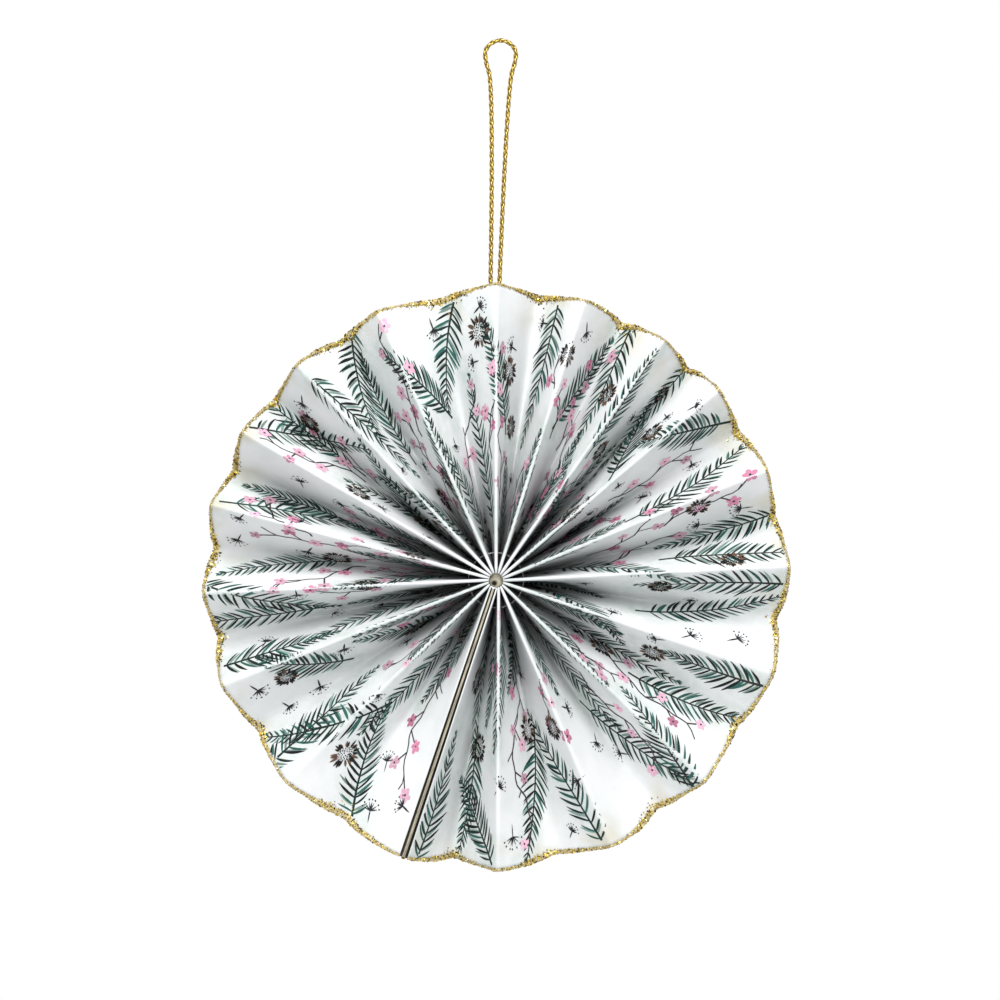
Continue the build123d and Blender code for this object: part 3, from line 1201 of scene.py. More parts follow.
    def draw_twigs(self) -> None:
        """Draws blossom twigs: a wavering twig, stalks on both sides of it, and a blossom on most stalks."""
        spots = self.open_places(self.twig_room)
        count = len(spots)
        length = self.chance.uniform(*self.twig_length, count)
        lean = np.pi / 2 + np.radians(self.chance.uniform(-self.twig_lean, self.twig_lean, count))
        step = np.linspace(-0.5, 0.5, self.twig_points)
        ahead = length[:, None] * step
        phase = self.chance.uniform(0, math.tau, (count, 1))
        aside = sum(height * np.sin(step * waves + phase) for height, waves in self.twig_waver)
        cos, sin = np.cos(lean)[:, None], np.sin(lean)[:, None]
        path = spots[:, None] + np.stack([ahead * cos - aside * sin, ahead * sin + aside * cos], axis=-1)
        self.taken = np.vstack([self.taken, path[:, ::3].reshape(-1, 2)])
        self.pink.strokes(path, np.linspace(*self.twig_width, len(step)), self.pick(TWIGS, count))
        knots = path[:, 2::3].reshape(-1, 1, 2)
        side = np.tile([1.0, -1.0], len(knots))[: len(knots)]
        aslant = side * np.radians(self.chance.uniform(*self.stalk_angle, len(knots)))
        ways = pointing(np.repeat(lean, len(knots) // count) + aslant)[:, None]
        reach = self.chance.uniform(*self.stalk_length, (len(knots), 1, 1))
        stalks = knots + ways * reach * np.linspace(0, 1, self.stalk_points)[None, :, None]
        widths = np.full(self.stalk_points, self.stalk_width)
        self.pink.strokes(stalks, widths, self.pick(STALKS, len(stalks)))
        flowering = self.chance.uniform(0, 1, len(stalks)) < self.flowering
        self.draw_blossoms((stalks[:, -1] + ways[:, 0] * self.blossom_offset * self.petal)[flowering])

    def draw_blossoms(self, middles: Array) -> None:
        """Draws blossoms: oval petals that point outward, round a small dark eye.

        Args:
            middles: the blossoms' middles on the unfolded strip.
        """
        count = len(middles)
        size = self.chance.uniform(*self.blossom_size, (count, 1))
        turn = self.chance.uniform(0, math.tau, (count, 1)) + turns_round(self.petals)
        turn = turn + self.chance.normal(0, self.petal_sway, turn.shape)
        places = middles[:, None] + pointing(turn) * (self.petal_stretch * self.petal * size)[..., None]
        radii = (self.petal * size * self.chance.uniform(*self.petal_size, turn.shape)).ravel()
        inks = np.repeat(self.pick(PETALS, count), self.petals, axis=0)
        self.pink.dots(places.reshape(-1, 2), radii, inks, self.petal_stretch, turn.ravel())
        eyes = self.pick(STALKS, count)
        self.brown.dots(middles, self.eye * self.petal * size.ravel(), eyes, 1.0, np.zeros(count))

    def draw_seed_heads(self) -> None:
        """Draws seed heads: seeds set by the golden angle in a disc, with pointed bracts round it."""
        spots = self.open_places(self.head_room)
        self.taken = np.vstack([self.taken, spots])
        size = self.seed_head * self.chance.uniform(*self.head_size, (len(spots), 1))
        number = np.arange(self.head_seeds)
        golden = np.pi * (3 - math.sqrt(5))
        start = self.head_disc * size * np.sqrt((number + 0.5) / self.head_seeds)
        self.draw_rays(spots, number * golden, start, self.head_seed_length, self.head_seed_width, SEEDS)
        sway = self.chance.normal(0, self.bract_sway, (len(spots), self.bracts))
        turn = turns_round(self.bracts) + sway
        reach = size * self.chance.uniform(*self.bract_reach, turn.shape)
        self.draw_rays(spots, turn, self.bract_start * size, reach, self.bract_width, BRACTS)

    def draw_rays(
        self,
        spots: Array,
        turn: Array,
        start: Array | float,
        reach: Array | float,
        width: float,
        palette: Palette,
    ) -> None:
        """Draws strokes that point away from each spot, broad at first and pointed at the end.

        Args:
            spots: middles on the unfolded strip.
            turn: the way each stroke points, spots by strokes.
            start: how far from the middle each begins.
            reach: each stroke's length.
            width: a stroke's greatest width.
            palette: colours of the strokes.
        """
        turn, start, reach = np.broadcast_arrays(turn, start, reach)
        step = np.linspace(0, 1, self.ray_points)
        out = start[..., None] + reach[..., None] * step
        path = spots[:, None, None] + pointing(turn)[:, :, None] * out[..., None]
        path = path.reshape(-1, len(step), 2)
        taper = np.sin(np.pi * between(*self.ray_span, step))
        widths = width * self.chance.uniform(*self.ray_breadth, (len(path), 1)) * taper
        self.brown.strokes(path, widths, self.pick(palette, len(path)))

    def draw_drifting_seeds(self) -> None:
        """Draws drifting seeds: a stalk, and opposite to it a fan of thin hairs with a speck beyond each."""
        spots = self.open_places(self.drift_room)
        size = self.drift * self.chance.uniform(*self.drift_size, (len(spots), 1))
        way = self.chance.uniform(0, math.tau, (len(spots), 1))
        fan = way + np.linspace(-self.hair_fan, self.hair_fan, self.hairs)
        fan = fan + self.chance.normal(0, self.hair_sway, fan.shape)
        self.draw_rays(spots, fan, 0.0, self.hair_reach * size, self.hair_width, HAIRS)
        start = self.speck_start * size
        self.draw_rays(spots, fan, start, size - start, self.speck_width, HAIRS)
        self.draw_rays(spots, way + np.pi, 0.0, size, self.speck_width, HAIRS)

    def build(self) -> None:
        """Draws every motif and lays the layers on the paper."""
        pairs, width = self.leaflet_pairs, self.leaflet_width
        self.draw_fronds(self.pale, pairs // 2, width * self.pale_widening, PALE_FRONDS)
        self.draw_fronds(self.green, pairs, width, DARK_FRONDS)
        self.draw_stems()
        self.draw_twigs()
        self.draw_seed_heads()
        self.draw_drifting_seeds()
        ink = InkFinish().material()
        for layer in (self.pale, self.green, self.pink, self.brown):
            layer.lay(self.strip, ink, self.chance)


class FlakeTone(Enum):
    """Colours of the glitter flakes: gold tones, and a near-black tone that paints shade on some flakes."""

    GOLD = (0.78, 0.57, 0.10)
    LEMON = (0.95, 0.82, 0.28)
    BRONZE = (0.38, 0.26, 0.05)
    # Painted shade: near-black flakes, as if they mirrored no light.
    SHADED_OLIVE = (0.07, 0.05, 0.01)


TONE_SHARES: dict[FlakeTone, float] = {
    FlakeTone.GOLD: 0.30, FlakeTone.LEMON: 0.20, FlakeTone.BRONZE: 0.22, FlakeTone.SHADED_OLIVE: 0.28
}


@dataclass
class GlitterEdge:
    """Uneven bead of glue along the cut rim, covered with small six-sided flakes that also stray inwards."""

    strip: PleatedStrip
    stations_per_panel: int = 40
    sides: int = 10
    reach_out: float = 0.55 * MM
    reach_in: Range = (0.1 * MM, 1.7 * MM)
    knots_per_panel: int = 3
    uneven_reach: Range = (0.2, 0.7)
    valley_reach: float = 0.3
    least_full: float = 0.4
    full_at: float = 2.4
    half_thickness: float = 0.25 * MM
    lump: float = 0.16
    lump_waves: Pair = (37.0, 23.0)
    just_inside: float = 0.98
    flakes: int = 8000
    strays: int = 2600
    seam_flakes: int = 70
    seam_half: float = 0.25 * MM
    seam_behind: Range = (0.5 * MM, 1.4 * MM)
    seam_lift: float = 0.05 * MM
    stray_reach: Range = (0.15 * MM, 2.6 * MM)
    stray_start: float = 0.2 * MM
    stray_lift: float = 0.12 * MM
    stray_size: float = 0.7
    stray_tilt: float = 0.12
    flake_sides: int = 6
    flake_radius: Range = (0.17 * MM, 0.38 * MM)
    flake_tilt: float = 0.6
    flake_lift: float = 0.04 * MM
    end_margin: float = 0.01
    seed: int = 8
    chance: Chance = field(init=False)
    knot_places: Array = field(init=False)
    knot_reach: Array = field(init=False)

    def __post_init__(self) -> None:
        """Sets how far the bead reaches over the paper's face along the rim, most in the valleys."""
        self.chance = np.random.default_rng(self.seed)
        panels = self.strip.panels
        self.knot_places = np.linspace(0, panels, panels * self.knots_per_panel + 1)
        valley = (0.5 - 0.5 * np.cos(np.pi * self.knot_places)) ** 2
        uneven = self.chance.uniform(0, 1, len(self.knot_places))
        self.knot_reach = uneven * between(*self.uneven_reach, valley) + self.valley_reach * valley

    def reach(self, across: Array) -> Array:
        """How far in the bead reaches at places along the rim, 0 to 1."""
        return np.interp(across, self.knot_places, self.knot_reach)

    def fullness(self, across: Array) -> Array:
        """How full the bead is, from well under half on a bare ridge to 1 where it reaches far in."""
        return between(self.least_full, 1, np.minimum(1, self.full_at * self.reach(across)))

    def on_bead(self, across: Array, angle: Array) -> tuple[Array, Array]:
        """Points of the bead and their outward normals.

        The bead's section is an oval that wraps the cut edge: it reaches out past the rim, over the paper's
        front and back by an uneven reach, and is as thick as the bead.

        Args:
            across: places along the rim, in panels.
            angle: turn round the section, 0 outwards and a quarter turn to the front.

        Returns:
            Points and normals.
        """
        across, angle = np.broadcast_arrays(across, angle)
        ones = np.ones_like(across)
        rim = self.strip.blend(self.strip.middle, across, ones)
        outward = unit(rim - self.strip.blend(self.strip.middle, across, ones * self.just_inside))
        front = self.strip.blend(self.strip.normals, across, ones)
        front = unit(front - outward * (front * outward).sum(-1, keepdims=True))
        reach_in = between(*self.reach_in, self.reach(across))
        reach_out = self.reach_out * self.fullness(across)
        half_width = (reach_out + reach_in) / 2
        long, short = self.lump_waves
        lumps = np.sin(across * long + 2 * angle) * np.sin(across * short - angle)
        half_thick = self.half_thickness * (1 + self.lump * lumps)
        cos, sin = np.cos(angle), np.sin(angle)
        out = (reach_out - half_width + half_width * cos)[..., None]
        points = rim + outward * out + front * (half_thick * sin)[..., None]
        slope = outward * (cos / half_width)[..., None] + front * (sin / half_thick)[..., None]
        return points, unit(slope)

    def build(self) -> None:
        """Makes the bead and its flakes."""
        stations = self.strip.panels * self.stations_per_panel + 1
        across = np.linspace(0, self.strip.panels, stations)
        points, _ = self.on_bead(across[:, None], turns_round(self.sides)[None, :])
        quads = grid_faces(stations, self.sides, wrap=True).tolist()
        faces = [face[::-1] for face in quads + end_caps(0, stations, self.sides)]
        bead = add_mesh("glitter_bead", points, faces, BeadFinish().material())
        tube, station, around = tube_corners(bead, self.sides, stations, len(quads))
        lay_in_rows(bead, station / (stations - 1), around, tube, 1, self.strip.pleats)
        settle(bead, "gold_glitter", "glitter_edge")
        settle(self.scatter(), "gold_glitter")

    def on_card_ends(self) -> tuple[Array, Array]:
        """Places on the outer ends of the two cards in the seam, and the way out from the hub.

        Returns:
            Points and normals.
        """
        turn = math.radians(self.strip.seam_turn)
        outward = np.array([math.sin(turn), 0.0, math.cos(turn)])
        aside = np.array([math.cos(turn), 0.0, -math.sin(turn)])
        middle = self.strip.folds(np.array([1.0]))[0][[0, -1]].mean(axis=0)
        offset = self.chance.uniform(-self.seam_half, self.seam_half, (self.seam_flakes, 1))
        behind = self.chance.uniform(*self.seam_behind, (self.seam_flakes, 1))
        points = middle + aside * offset + np.array([0.0, 1.0, 0.0]) * behind + outward * self.seam_lift
        return points, np.tile(outward, (self.seam_flakes, 1))

    def scatter(self) -> Piece:
        """Scatters flakes: small hexagons, nearly flat on the bead or the paper, each tilted its own way.

        Returns:
            The flakes as one mesh.
        """
        ends = (self.end_margin, self.strip.panels - self.end_margin)
        along = self.chance.uniform(*ends, self.flakes)
        on_bead, bead_normals = self.on_bead(along, self.chance.uniform(0, math.tau, self.flakes))
        across = self.chance.uniform(*ends, self.strays)
        patch = between(*self.stray_reach, self.reach(across) ** 2)
        inward = np.abs(self.chance.normal(0, 1, self.strays)) * patch + self.stray_start
        flat = np.stack([across * self.strip.depth, self.strip.length - inward], axis=-1)
        on_paper = self.strip.on_front(flat, np.full(self.strays, self.stray_lift))
        paper_normals = self.strip.blend(self.strip.normals, across, flat[:, 1] / self.strip.length)
        on_cards, card_normals = self.on_card_ends()
        centres = np.vstack([on_bead, on_cards, on_paper])
        normals = np.vstack([bead_normals, card_normals, paper_normals])
        count = len(centres)
        bedded = np.arange(count) < count - self.strays
        tilt = np.where(bedded, self.flake_tilt, self.stray_tilt)[:, None]
        normals = unit(normals + self.chance.normal(0, 1, normals.shape) * tilt)
        first = unit(np.cross(normals, self.chance.normal(0, 1, normals.shape)))
        second = np.cross(normals, first)
        sizes = (self.fullness(along), np.ones(self.seam_flakes), self.stray_size * self.fullness(across))
        radius = self.chance.uniform(*self.flake_radius, (count, 1, 1)) * np.concatenate(sizes)[:, None, None]
        hexagon = pointing(turns_round(self.flake_sides))
        ring = first[:, None] * hexagon[:, :1] + second[:, None] * hexagon[:, 1:]
        points = (centres + normals * self.flake_lift)[:, None] + ring * radius
        halves = np.array([[0, 1, 2, 3], [0, 3, 4, 5]])
        faces = (np.arange(count)[:, None, None] * self.flake_sides + halves[None]).reshape(-1, 4)
        piece = add_mesh("glitter_flakes", points, faces.tolist(), FlakeFinish().material(), smooth=False)
        tones = np.array([tone.value for tone in TONE_SHARES])
        chosen = tones[self.chance.choice(len(tones), count, p=list(TONE_SHARES.values()))]
        add_colours(piece, "flake", np.repeat(chosen, self.flake_sides, axis=0))
        patch_number = np.repeat(np.arange(count), self.flake_sides)
        lay_in_cells(piece, patch_number, count, np.tile(0.5 + 0.5 * hexagon, (count, 1)))
        return piece


@dataclass
class PliedYarn:
    """A yarn of several plies wound round each other along a path."""

    diameter: float
    pitch: float
    bulk: float = 1.12
    sides: int = 8
    plies: int = 2
    map_rows: int = 6

    def build(self, name: str, path: Array, reference: Array, finish: YarnFinish, closed: bool) -> Piece:
        """Makes the yarn as tubes that wind round the path.

        A ply's middle goes round the path once in every pitch, and its section is a circle in the plane
        across the path. A value for painted shade grows from 0 on the outside to 1 where two plies meet.

        Args:
            name: the piece's name.
            path: points that the yarn follows.
            reference: a direction across the path at each point.
            finish: the yarn's finish.
            closed: True where the path's end is its start.

        Returns:
            The new mesh object.
        """
        way = self.tangents(path, closed)
        first = unit(reference - way * (reference * way).sum(-1, keepdims=True))
        second = np.cross(way, first)
        along = np.append(0, np.cumsum(np.linalg.norm(np.diff(path, axis=0), axis=1)))
        turns = along / self.pitch
        if closed:
            turns = turns * (round(turns[-1]) / turns[-1])
        radius = self.diameter / 2
        ply_radius = radius / (1 + 1 / math.sin(np.pi / self.plies)) * self.bulk
        lay_radius = radius - ply_radius
        phase = turns[:, None] * math.tau + turns_round(self.plies)
        places = lay_radius * pointing(phase)[:, :, None] + ply_radius * pointing(turns_round(self.sides))
        points = path[:, None, None] + places[..., :1] * first[:, None, None]
        points = (points + places[..., 1:] * second[:, None, None]).transpose(1, 0, 2, 3)
        bottom = math.sqrt(ply_radius**2 - lay_radius**2)
        groove_shade = np.clip((radius - np.linalg.norm(places, axis=-1)) / (radius - bottom), 0, 1)
        stations = len(path)
        starts = np.arange(self.plies) * stations * self.sides
        quads = starts[:, None, None] + grid_faces(stations, self.sides, wrap=True)[None]
        faces = quads.reshape(-1, 4).tolist()
        quad_count = len(faces)
        for start in starts.tolist():
            faces += end_caps(start, stations, self.sides)
        piece = add_mesh(name, points, faces, finish.material())
        # Painted shade where the plies meet, read by the finish.
        add_values(piece, "groove_shade", groove_shade.transpose(1, 0, 2))
        ply, station, around = tube_corners(piece, self.sides, stations, quad_count)
        add_map(piece, "yarn", np.stack([around, along[station] / self.pitch], axis=-1))
        lay_in_rows(piece, along[station] / along[-1], around, ply, self.plies, self.map_rows)
        return piece

    def tangents(self, path: Array, closed: bool) -> Array:
        """The path's own way at each of its points."""
        if not closed:
            return unit(np.gradient(path, axis=0))
        inner = path[:-1]
        way = unit(np.roll(inner, -1, axis=0) - np.roll(inner, 1, axis=0))
        return np.vstack([way, way[:1]])


# Each yarn has a lit and a shaded colour: painted light and shade on its filaments.
GOLD_YARN = YarnFinish("gold_yarn", (0.66, 0.47, 0.115), (0.12, 0.075, 0.012), 0.9, 0.3)
WHITE_THREAD = YarnFinish("white_thread", (0.97, 0.97, 0.95), (0.84, 0.84, 0.81), 0.0, 0.7)


@dataclass
class CordLoop:
    """The gold cord: up one leg, round the top, down the other, and tied behind the top ridge."""

    strip: PleatedStrip
    diameter: float = 1.2 * MM
    length: float = 153.4 * MM
    pitch: float = 4.2 * MM
    bulk: float = 1.4
    sides: int = 12
    step: float = 0.25 * MM
    smoothness: int = 40
    tail_points: int = 10
    tail_stiff: float = 0.8 * MM
    knot_yarn: float = 0.92
    knot_pitch: float = 3.0 * MM
    knot_bulk: float = 1.3
    knot_points: int = 241
    knot_turns: tuple[int, int] = (2, 3)
    knot_fullness: Pair = (0.55, 0.75)
    knot_inset: float = 0.45
    route: tuple[Pair, ...] = (
        (-1.6, 63.0),
        (-0.45, 125.0),
        (-3.2, 133.2),
        (-1.85, 136.1),
        (1.15, 137.3),
        (4.15, 136.1),
        (5.5, 133.2),
        (2.75, 125.0),
        (0.4, 63.0),
    )

    def line(self) -> Array:
        """The cord's middle line: a smooth spline with the route's points as its control points.

        Returns:
            Points along it, evenly spaced.
        """
        low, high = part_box("hanging_cord")
        plane = (low.y + high.y) / 2
        hub_x, _, hub_z = self.strip.hub
        control = [(hub_x + x * MM, plane, hub_z + z * MM, 1.0) for x, z in self.route]
        curve = bpy.data.curves.new("cord_route", "CURVE")
        curve.dimensions = "3D"
        spline = curve.splines.new("NURBS")
        spline.points.add(len(control) - 1)
        spline.points.foreach_set("co", np.ravel(control))
        spline.order_u = 3
        spline.use_endpoint_u = True
        spline.resolution_u = self.smoothness
        holder = bpy.data.objects.new("cord_route", curve)
        mesh = bpy.data.meshes.new_from_object(holder)
        points = np.empty(len(mesh.vertices) * 3)
        mesh.vertices.foreach_get("co", points)
        bpy.data.objects.remove(holder)
        bpy.data.meshes.remove(mesh)
        bpy.data.curves.remove(curve)
        return self.even(points.reshape(-1, 3))

    def tail(self, end: Array, before: Array) -> Array:
        """A cord end's way into the knot: it leaves straight on, and bends to the knot's middle.

        Args:
            end: the last point of the cord's line.
            before: the point before it.

        Returns:
            Points from just past the end to the knot's middle.
        """
        low, high = corners(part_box("cord_knot"))
        step = np.linspace(0, 1, self.tail_points)[1:, None]
        straight_on = end + unit(end - before) * self.tail_stiff
        return end * (1 - step) ** 2 + straight_on * 2 * step * (1 - step) + (low + high) / 2 * step**2

    def even(self, points: Array) -> Array:
        """The same line with its points a step apart."""
        along = np.append(0, np.cumsum(np.linalg.norm(np.diff(points, axis=0), axis=1)))
        places = np.linspace(0, along[-1], int(along[-1] / self.step) + 1)
        return np.stack([np.interp(places, along, points[:, axis]) for axis in range(3)], axis=-1)

    def knot(self) -> Piece:
        """The tied knot: the yarn follows a knot on a ring, squeezed into the CAD knot's box.

        Returns:
            The knot as a mesh object.
        """
        low, high = corners(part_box("cord_knot"))
        turn = np.linspace(0, math.tau, self.knot_points)
        ring, tube = (turn * turns for turns in self.knot_turns)
        aside, up = self.knot_fullness
        out = 1 + aside * np.cos(tube)
        shape = np.stack([out * np.cos(ring), out * np.sin(ring), up * np.sin(tube)], axis=-1)
        away = np.stack([np.cos(tube) * np.cos(ring), np.cos(tube) * np.sin(ring), np.sin(tube)], axis=-1)
        half = (high - low) / 2 - self.diameter * self.knot_inset
        scale = half / np.abs(shape).max(axis=0)
        path = (low + high) / 2 + shape * scale
        yarn = PliedYarn(self.diameter * self.knot_yarn, self.knot_pitch, self.knot_bulk)
        return yarn.build("tied_knot", path, away / scale, GOLD_YARN, closed=True)

    def build(self) -> None:
        path = self.line()
        tied = np.vstack([self.tail(path[0], path[1])[::-1], path, self.tail(path[-1], path[-2])])
        reference = np.tile([0.0, 1.0, 0.0], (len(tied), 1))
        yarn = PliedYarn(self.diameter, self.pitch, self.bulk, self.sides)
        cord = yarn.build("gold_cord", tied, reference, GOLD_YARN, closed=False)
        settle(cord, "gold_cord", "hanging_cord")
        knot = settle(self.knot(), "gold_cord", "cord_knot")


@dataclass
class HubBinding:
    """What holds the gathered hub: the binding thread and the plug of set glue."""

    strip: PleatedStrip
    thread: float = 0.3 * MM
    thread_yarn: float = 0.95
    thread_pitch: float = 0.9 * MM
    thread_points: int = 421
    thread_sides: int = 6
    plug_sides: int = 60
    plug_rings: int = 16
    plug_middle: float = 0.01
    plug_front: float = 0.2 * MM
    plug_fall: float = 0.7 * MM
    plug_lump: float = 0.16 * MM
    hollow_place: Pair = (-0.45 * MM, -0.75 * MM)
    hollow_radius: float = 0.62 * MM
    hollow_depth: float = 1.0 * MM
    hollow_shade_gain: float = 1.7

    def build(self) -> None:
        """Makes the thread ring and the glue plug."""
        low, high = corners(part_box("binding_thread"))
        turn = np.linspace(0, math.tau, self.thread_points)
        radius = (high[0] - low[0]) / 2 - self.thread / 2
        away = np.stack([np.sin(turn), np.zeros_like(turn), np.cos(turn)], axis=-1)
        path = (low + high) / 2 + away * radius
        yarn = PliedYarn(self.thread * self.thread_yarn, self.thread_pitch, sides=self.thread_sides)
        ring = yarn.build("thread_ring", path, away, WHITE_THREAD, closed=True)
        settle(ring, "white_thread", "binding_thread")
        settle(self.plug(), "set_glue", "centre_glue")

    def plug(self) -> Piece:
        """The glue plug: a cylinder about the hub's axis with a lumpy front that is hollowed at one place.

        The front falls away towards its edge by the fourth power of the radius. The hollow is a bell curve.

        Returns:
            The plug as a mesh object.
        """
        low, high = corners(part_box("centre_glue"))
        radius = (high[0] - low[0]) / 2
        turn = turns_round(self.plug_sides)
        rings = np.linspace(self.plug_middle, 1, self.plug_rings)
        part = np.append(rings, [1.0, self.plug_middle])[:, None]
        x, z = part * radius * np.sin(turn), part * radius * np.cos(turn)
        away = np.hypot(x - self.hollow_place[0], z - self.hollow_place[1])
        hollow = bell(away, self.hollow_radius)
        lumps = self.plug_lump * np.sin(2 * turn + 0.7) * np.sin(np.pi * part)
        back = self.plug_front + self.plug_fall * part**4 + lumps + self.hollow_depth * hollow
        back[-2:] = high[1] - low[1]
        hollow[-2:] = 0
        origin = np.array([(low[0] + high[0]) / 2, low[1], (low[2] + high[2]) / 2])
        faces = grid_faces(len(part), self.plug_sides, wrap=True).tolist()
        faces += end_caps(0, len(part), self.plug_sides)
        points = origin + np.stack([x, back, z], axis=-1)
        piece = add_mesh("glue_plug", points, faces, SetGlueFinish().material())
        # Painted shade in the hollow, strongest at its middle.
        add_values(piece, "hollow", np.minimum(1, self.hollow_shade_gain * hollow))
        return piece


@dataclass
class EndCards:
    """The two stiff cards behind the strip's end panels, whose front edges meet in the seam."""

    strip: PleatedStrip
    thickness: float = 0.24 * MM
    clearance: float = 0.01 * MM
    glue_line: float = 0.1 * MM
    inset: float = 0.5 * MM
    setback: float = 1.5 * MM
    start: float = 0.6 * MM
    foot_share: float = 0.992
    rows: int = 48
    columns: int = 12
    column_power: float = 1.8
    shade_break_rows: int = 5
    shade_break_range: Range = (0.35, 0.6)
    seed: int = 17
    chance: Chance = field(init=False)

    def __post_init__(self) -> None:
        """Starts the chance that breaks up the painted shade along the cards' front edges."""
        self.chance = np.random.default_rng(self.seed)

    def build(self) -> None:
        """Makes both cards."""
        finish = CardFinish().material()
        turn = math.radians(self.strip.seam_turn)
        clockwise = np.array([math.cos(turn), 0.0, -math.sin(turn)])
        last = self.strip.panels
        left = self.card("seam_card_left", 0, 1, -clockwise, finish)
        settle(left, "cream_card", "end_card_left")
        right = self.card("seam_card_right", last, last - 1, clockwise, finish)
        settle(right, "cream_card", "end_card_right")

    def card(self, name: str, ridge: int, valley: int, seamward: Array, finish: Material) -> Piece:
        """One card: a thin slab ruled from its free edge in the seam to its foot on the end panel.

        Args:
            name: the piece's name.
            ridge: number of the end panel's ridge fold.
            valley: number of its valley fold.
            seamward: the way across the seam from this end of the strip.
            finish: the card's material.

        Returns:
            The card as a mesh object.
        """
        first = self.start / self.strip.length
        shares = np.linspace(first, 1.0, self.rows)
        top = self.strip.folds(shares)[:, ridge]
        bottom = self.strip.folds(np.linspace(first, self.foot_share, self.rows))[:, valley]
        down = unit(bottom - top)
        away = unit(seamward - down * (down @ seamward)[:, None])
        gap = between(self.strip.seam_gap_hub, self.strip.seam_gap_rim, shares[:, None])
        edge = top + np.array([0, self.inset, 0]) + seamward * ((gap - self.clearance) / 2 - self.thickness)
        foot = bottom - down * self.setback + away * (self.glue_line + self.strip.paper / 2)
        part = (np.linspace(0, 1, self.columns) ** self.column_power)[None, :, None]
        near = between(edge[:, None], foot[:, None], part)
        far = near + unit(between(seamward[None, None], away[:, None], part)) * self.thickness
        loop = np.concatenate([near, far[:, ::-1]], axis=1)
        sides = loop.shape[1]
        faces = grid_faces(self.rows, sides, wrap=True).tolist() + end_caps(0, self.rows, sides)
        if ridge < valley:
            faces = [face[::-1] for face in faces]
        piece = add_mesh(name, loop, faces, finish, smooth=False)
        # Painted shade: the near face in the gap is darkened over its first few columns.
        dark = np.zeros(loop.shape[:2])
        dark[:, 1 : self.columns // 2] = 1
        # Painted shade along the far front edge, broken by smoothed random draws.
        draws = self.chance.uniform(0, 1, self.rows + self.shade_break_rows - 1)
        shade_breaks = np.convolve(draws, np.full(self.shade_break_rows, 1 / self.shade_break_rows), mode="valid")
        dark[:, -1] = np.interp(shade_breaks, self.shade_break_range, (0, 1))
        add_values(piece, "gap", dark)
        return piece


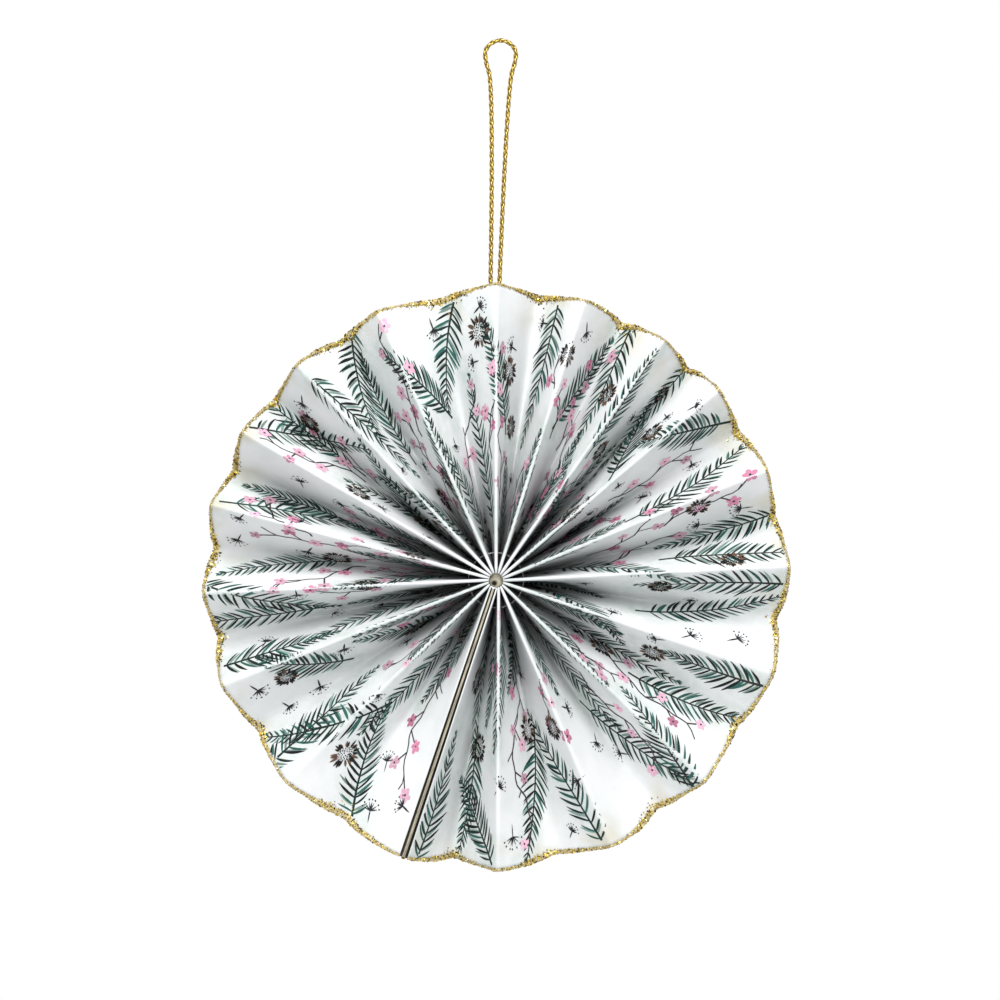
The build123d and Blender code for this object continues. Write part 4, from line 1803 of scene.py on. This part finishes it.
@dataclass
class Studio:
    """Camera, soft light from above and a plain pale floor."""

    strip: PleatedStrip
    view_width: float = 253 * MM
    distance: float = 1200 * MM
    farthest: float = 10.0
    view_right: float = 1.02 * MM
    view_up: float = 20.4 * MM
    sensor: float = 36.0
    lamp_offset: tuple[float, float, float] = (0.0, -420 * MM, 440 * MM)
    lamp_size: float = 350 * MM
    lamp_power: float = 3.3
    sky: float = 0.76
    sky_tint: Colour = (0.96, 0.98, 1.0)
    white: Colour = (1.0, 1.0, 1.0)
    floor_drop: float = 110 * MM
    floor_radius: float = 380 * MM
    floor_sides: int = 64
    floor_grain: float = 20 * MM
    floor_range: Range = (0.3, 0.7)
    floor_dark: Colour = (0.84, 0.84, 0.84)
    floor_pale: Colour = (0.86, 0.86, 0.86)
    floor_roughness: float = 0.8

    def build(self) -> None:
        """Sets up the view, the lamp, the sky and the floor."""
        scene = bpy.context.scene
        scene.view_settings.view_transform = "Standard"
        camera = bpy.data.cameras.new("camera")
        camera.sensor_width = self.sensor
        camera.lens = self.sensor * self.distance / self.view_width
        camera.clip_end = self.farthest
        holder = bpy.data.objects.new("camera", camera)
        hub = self.strip.hub
        ridge_plane = hub[1] - self.strip.depth / 2
        holder.location = (hub[0] + self.view_right, ridge_plane - self.distance, hub[2] + self.view_up)
        holder.rotation_euler = (math.pi / 2, 0, 0)
        scene.collection.objects.link(holder)
        scene.camera = holder
        self.hang_lamp(scene)
        self.light_sky(scene)
        self.lay_floor()

    def hang_lamp(self, scene: bpy.types.Scene) -> None:
        """Adds a square soft lamp, aimed at the hub."""
        lamp = bpy.data.lights.new("key_light", "AREA")
        lamp.size = self.lamp_size
        lamp.energy = self.lamp_power
        holder = bpy.data.objects.new("key_light", lamp)
        holder.location = tuple(self.strip.hub + np.array(self.lamp_offset))
        x, y, z = self.lamp_offset
        holder.rotation_euler = (math.atan2(math.hypot(x, y), z), 0, math.atan2(x, -y))
        scene.collection.objects.link(holder)

    def light_sky(self, scene: bpy.types.Scene) -> None:
        """A soft sky that lights the fan, and plain white where the camera or a reflection sees it."""
        world = bpy.data.worlds.new("studio")
        world.use_nodes = True
        scene.world = world
        nodes, links = world.node_tree.nodes, world.node_tree.links
        soft = nodes["Background"]
        soft.inputs["Strength"].default_value = self.sky
        soft.inputs["Color"].default_value = (*self.sky_tint, 1.0)
        white = nodes.new("ShaderNodeBackground")
        white.inputs["Color"].default_value = (*self.white, 1.0)
        path = nodes.new("ShaderNodeLightPath")
        seen = path.outputs["Is Camera Ray"]
        for kind in ("Is Glossy Ray", "Is Transmission Ray"):
            total = nodes.new("ShaderNodeMath")
            total.use_clamp = True
            links.new(seen, total.inputs[0])
            links.new(path.outputs[kind], total.inputs[1])
            seen = total.outputs[0]
        mix = nodes.new("ShaderNodeMixShader")
        for socket, output in zip(mix.inputs, (seen, soft.outputs[0], white.outputs[0])):
            links.new(output, socket)
        links.new(mix.outputs[0], nodes["World Output"].inputs["Surface"])

    def lay_floor(self) -> None:
        """A round pale floor below the hanging fan."""
        x, y = self.floor_radius * pointing(turns_round(self.floor_sides)).T
        hub = self.strip.hub
        level = np.full_like(x, hub[2] - self.strip.ridge_radius - self.floor_drop)
        sheet = NodeSheet("pale_floor")
        grain = sheet.spread(sheet.noise(self.floor_grain), self.floor_range)
        sheet.coat(sheet.mix(grain, self.floor_dark, self.floor_pale), self.floor_roughness)
        points = np.stack([hub[0] + x, hub[1] + y, level], axis=-1)
        floor = add_mesh("floor", points, [list(range(self.floor_sides))], sheet.material, smooth=False)


def main() -> None:
    """Builds the scene's pieces in order."""
    logging.basicConfig(level=logging.INFO, format="%(name)s %(message)s")
    strip = PleatedStrip()
    Studio(strip).build()
    CordLoop(strip).build()
    drawing = WinterPrint(strip)
    FoldedSheet(strip).build(drawing.stems)
    drawing.build()
    GlitterEdge(strip).build()
    EndCards(strip).build()
    HubBinding(strip).build()


if __name__ == "__main__":
    main()
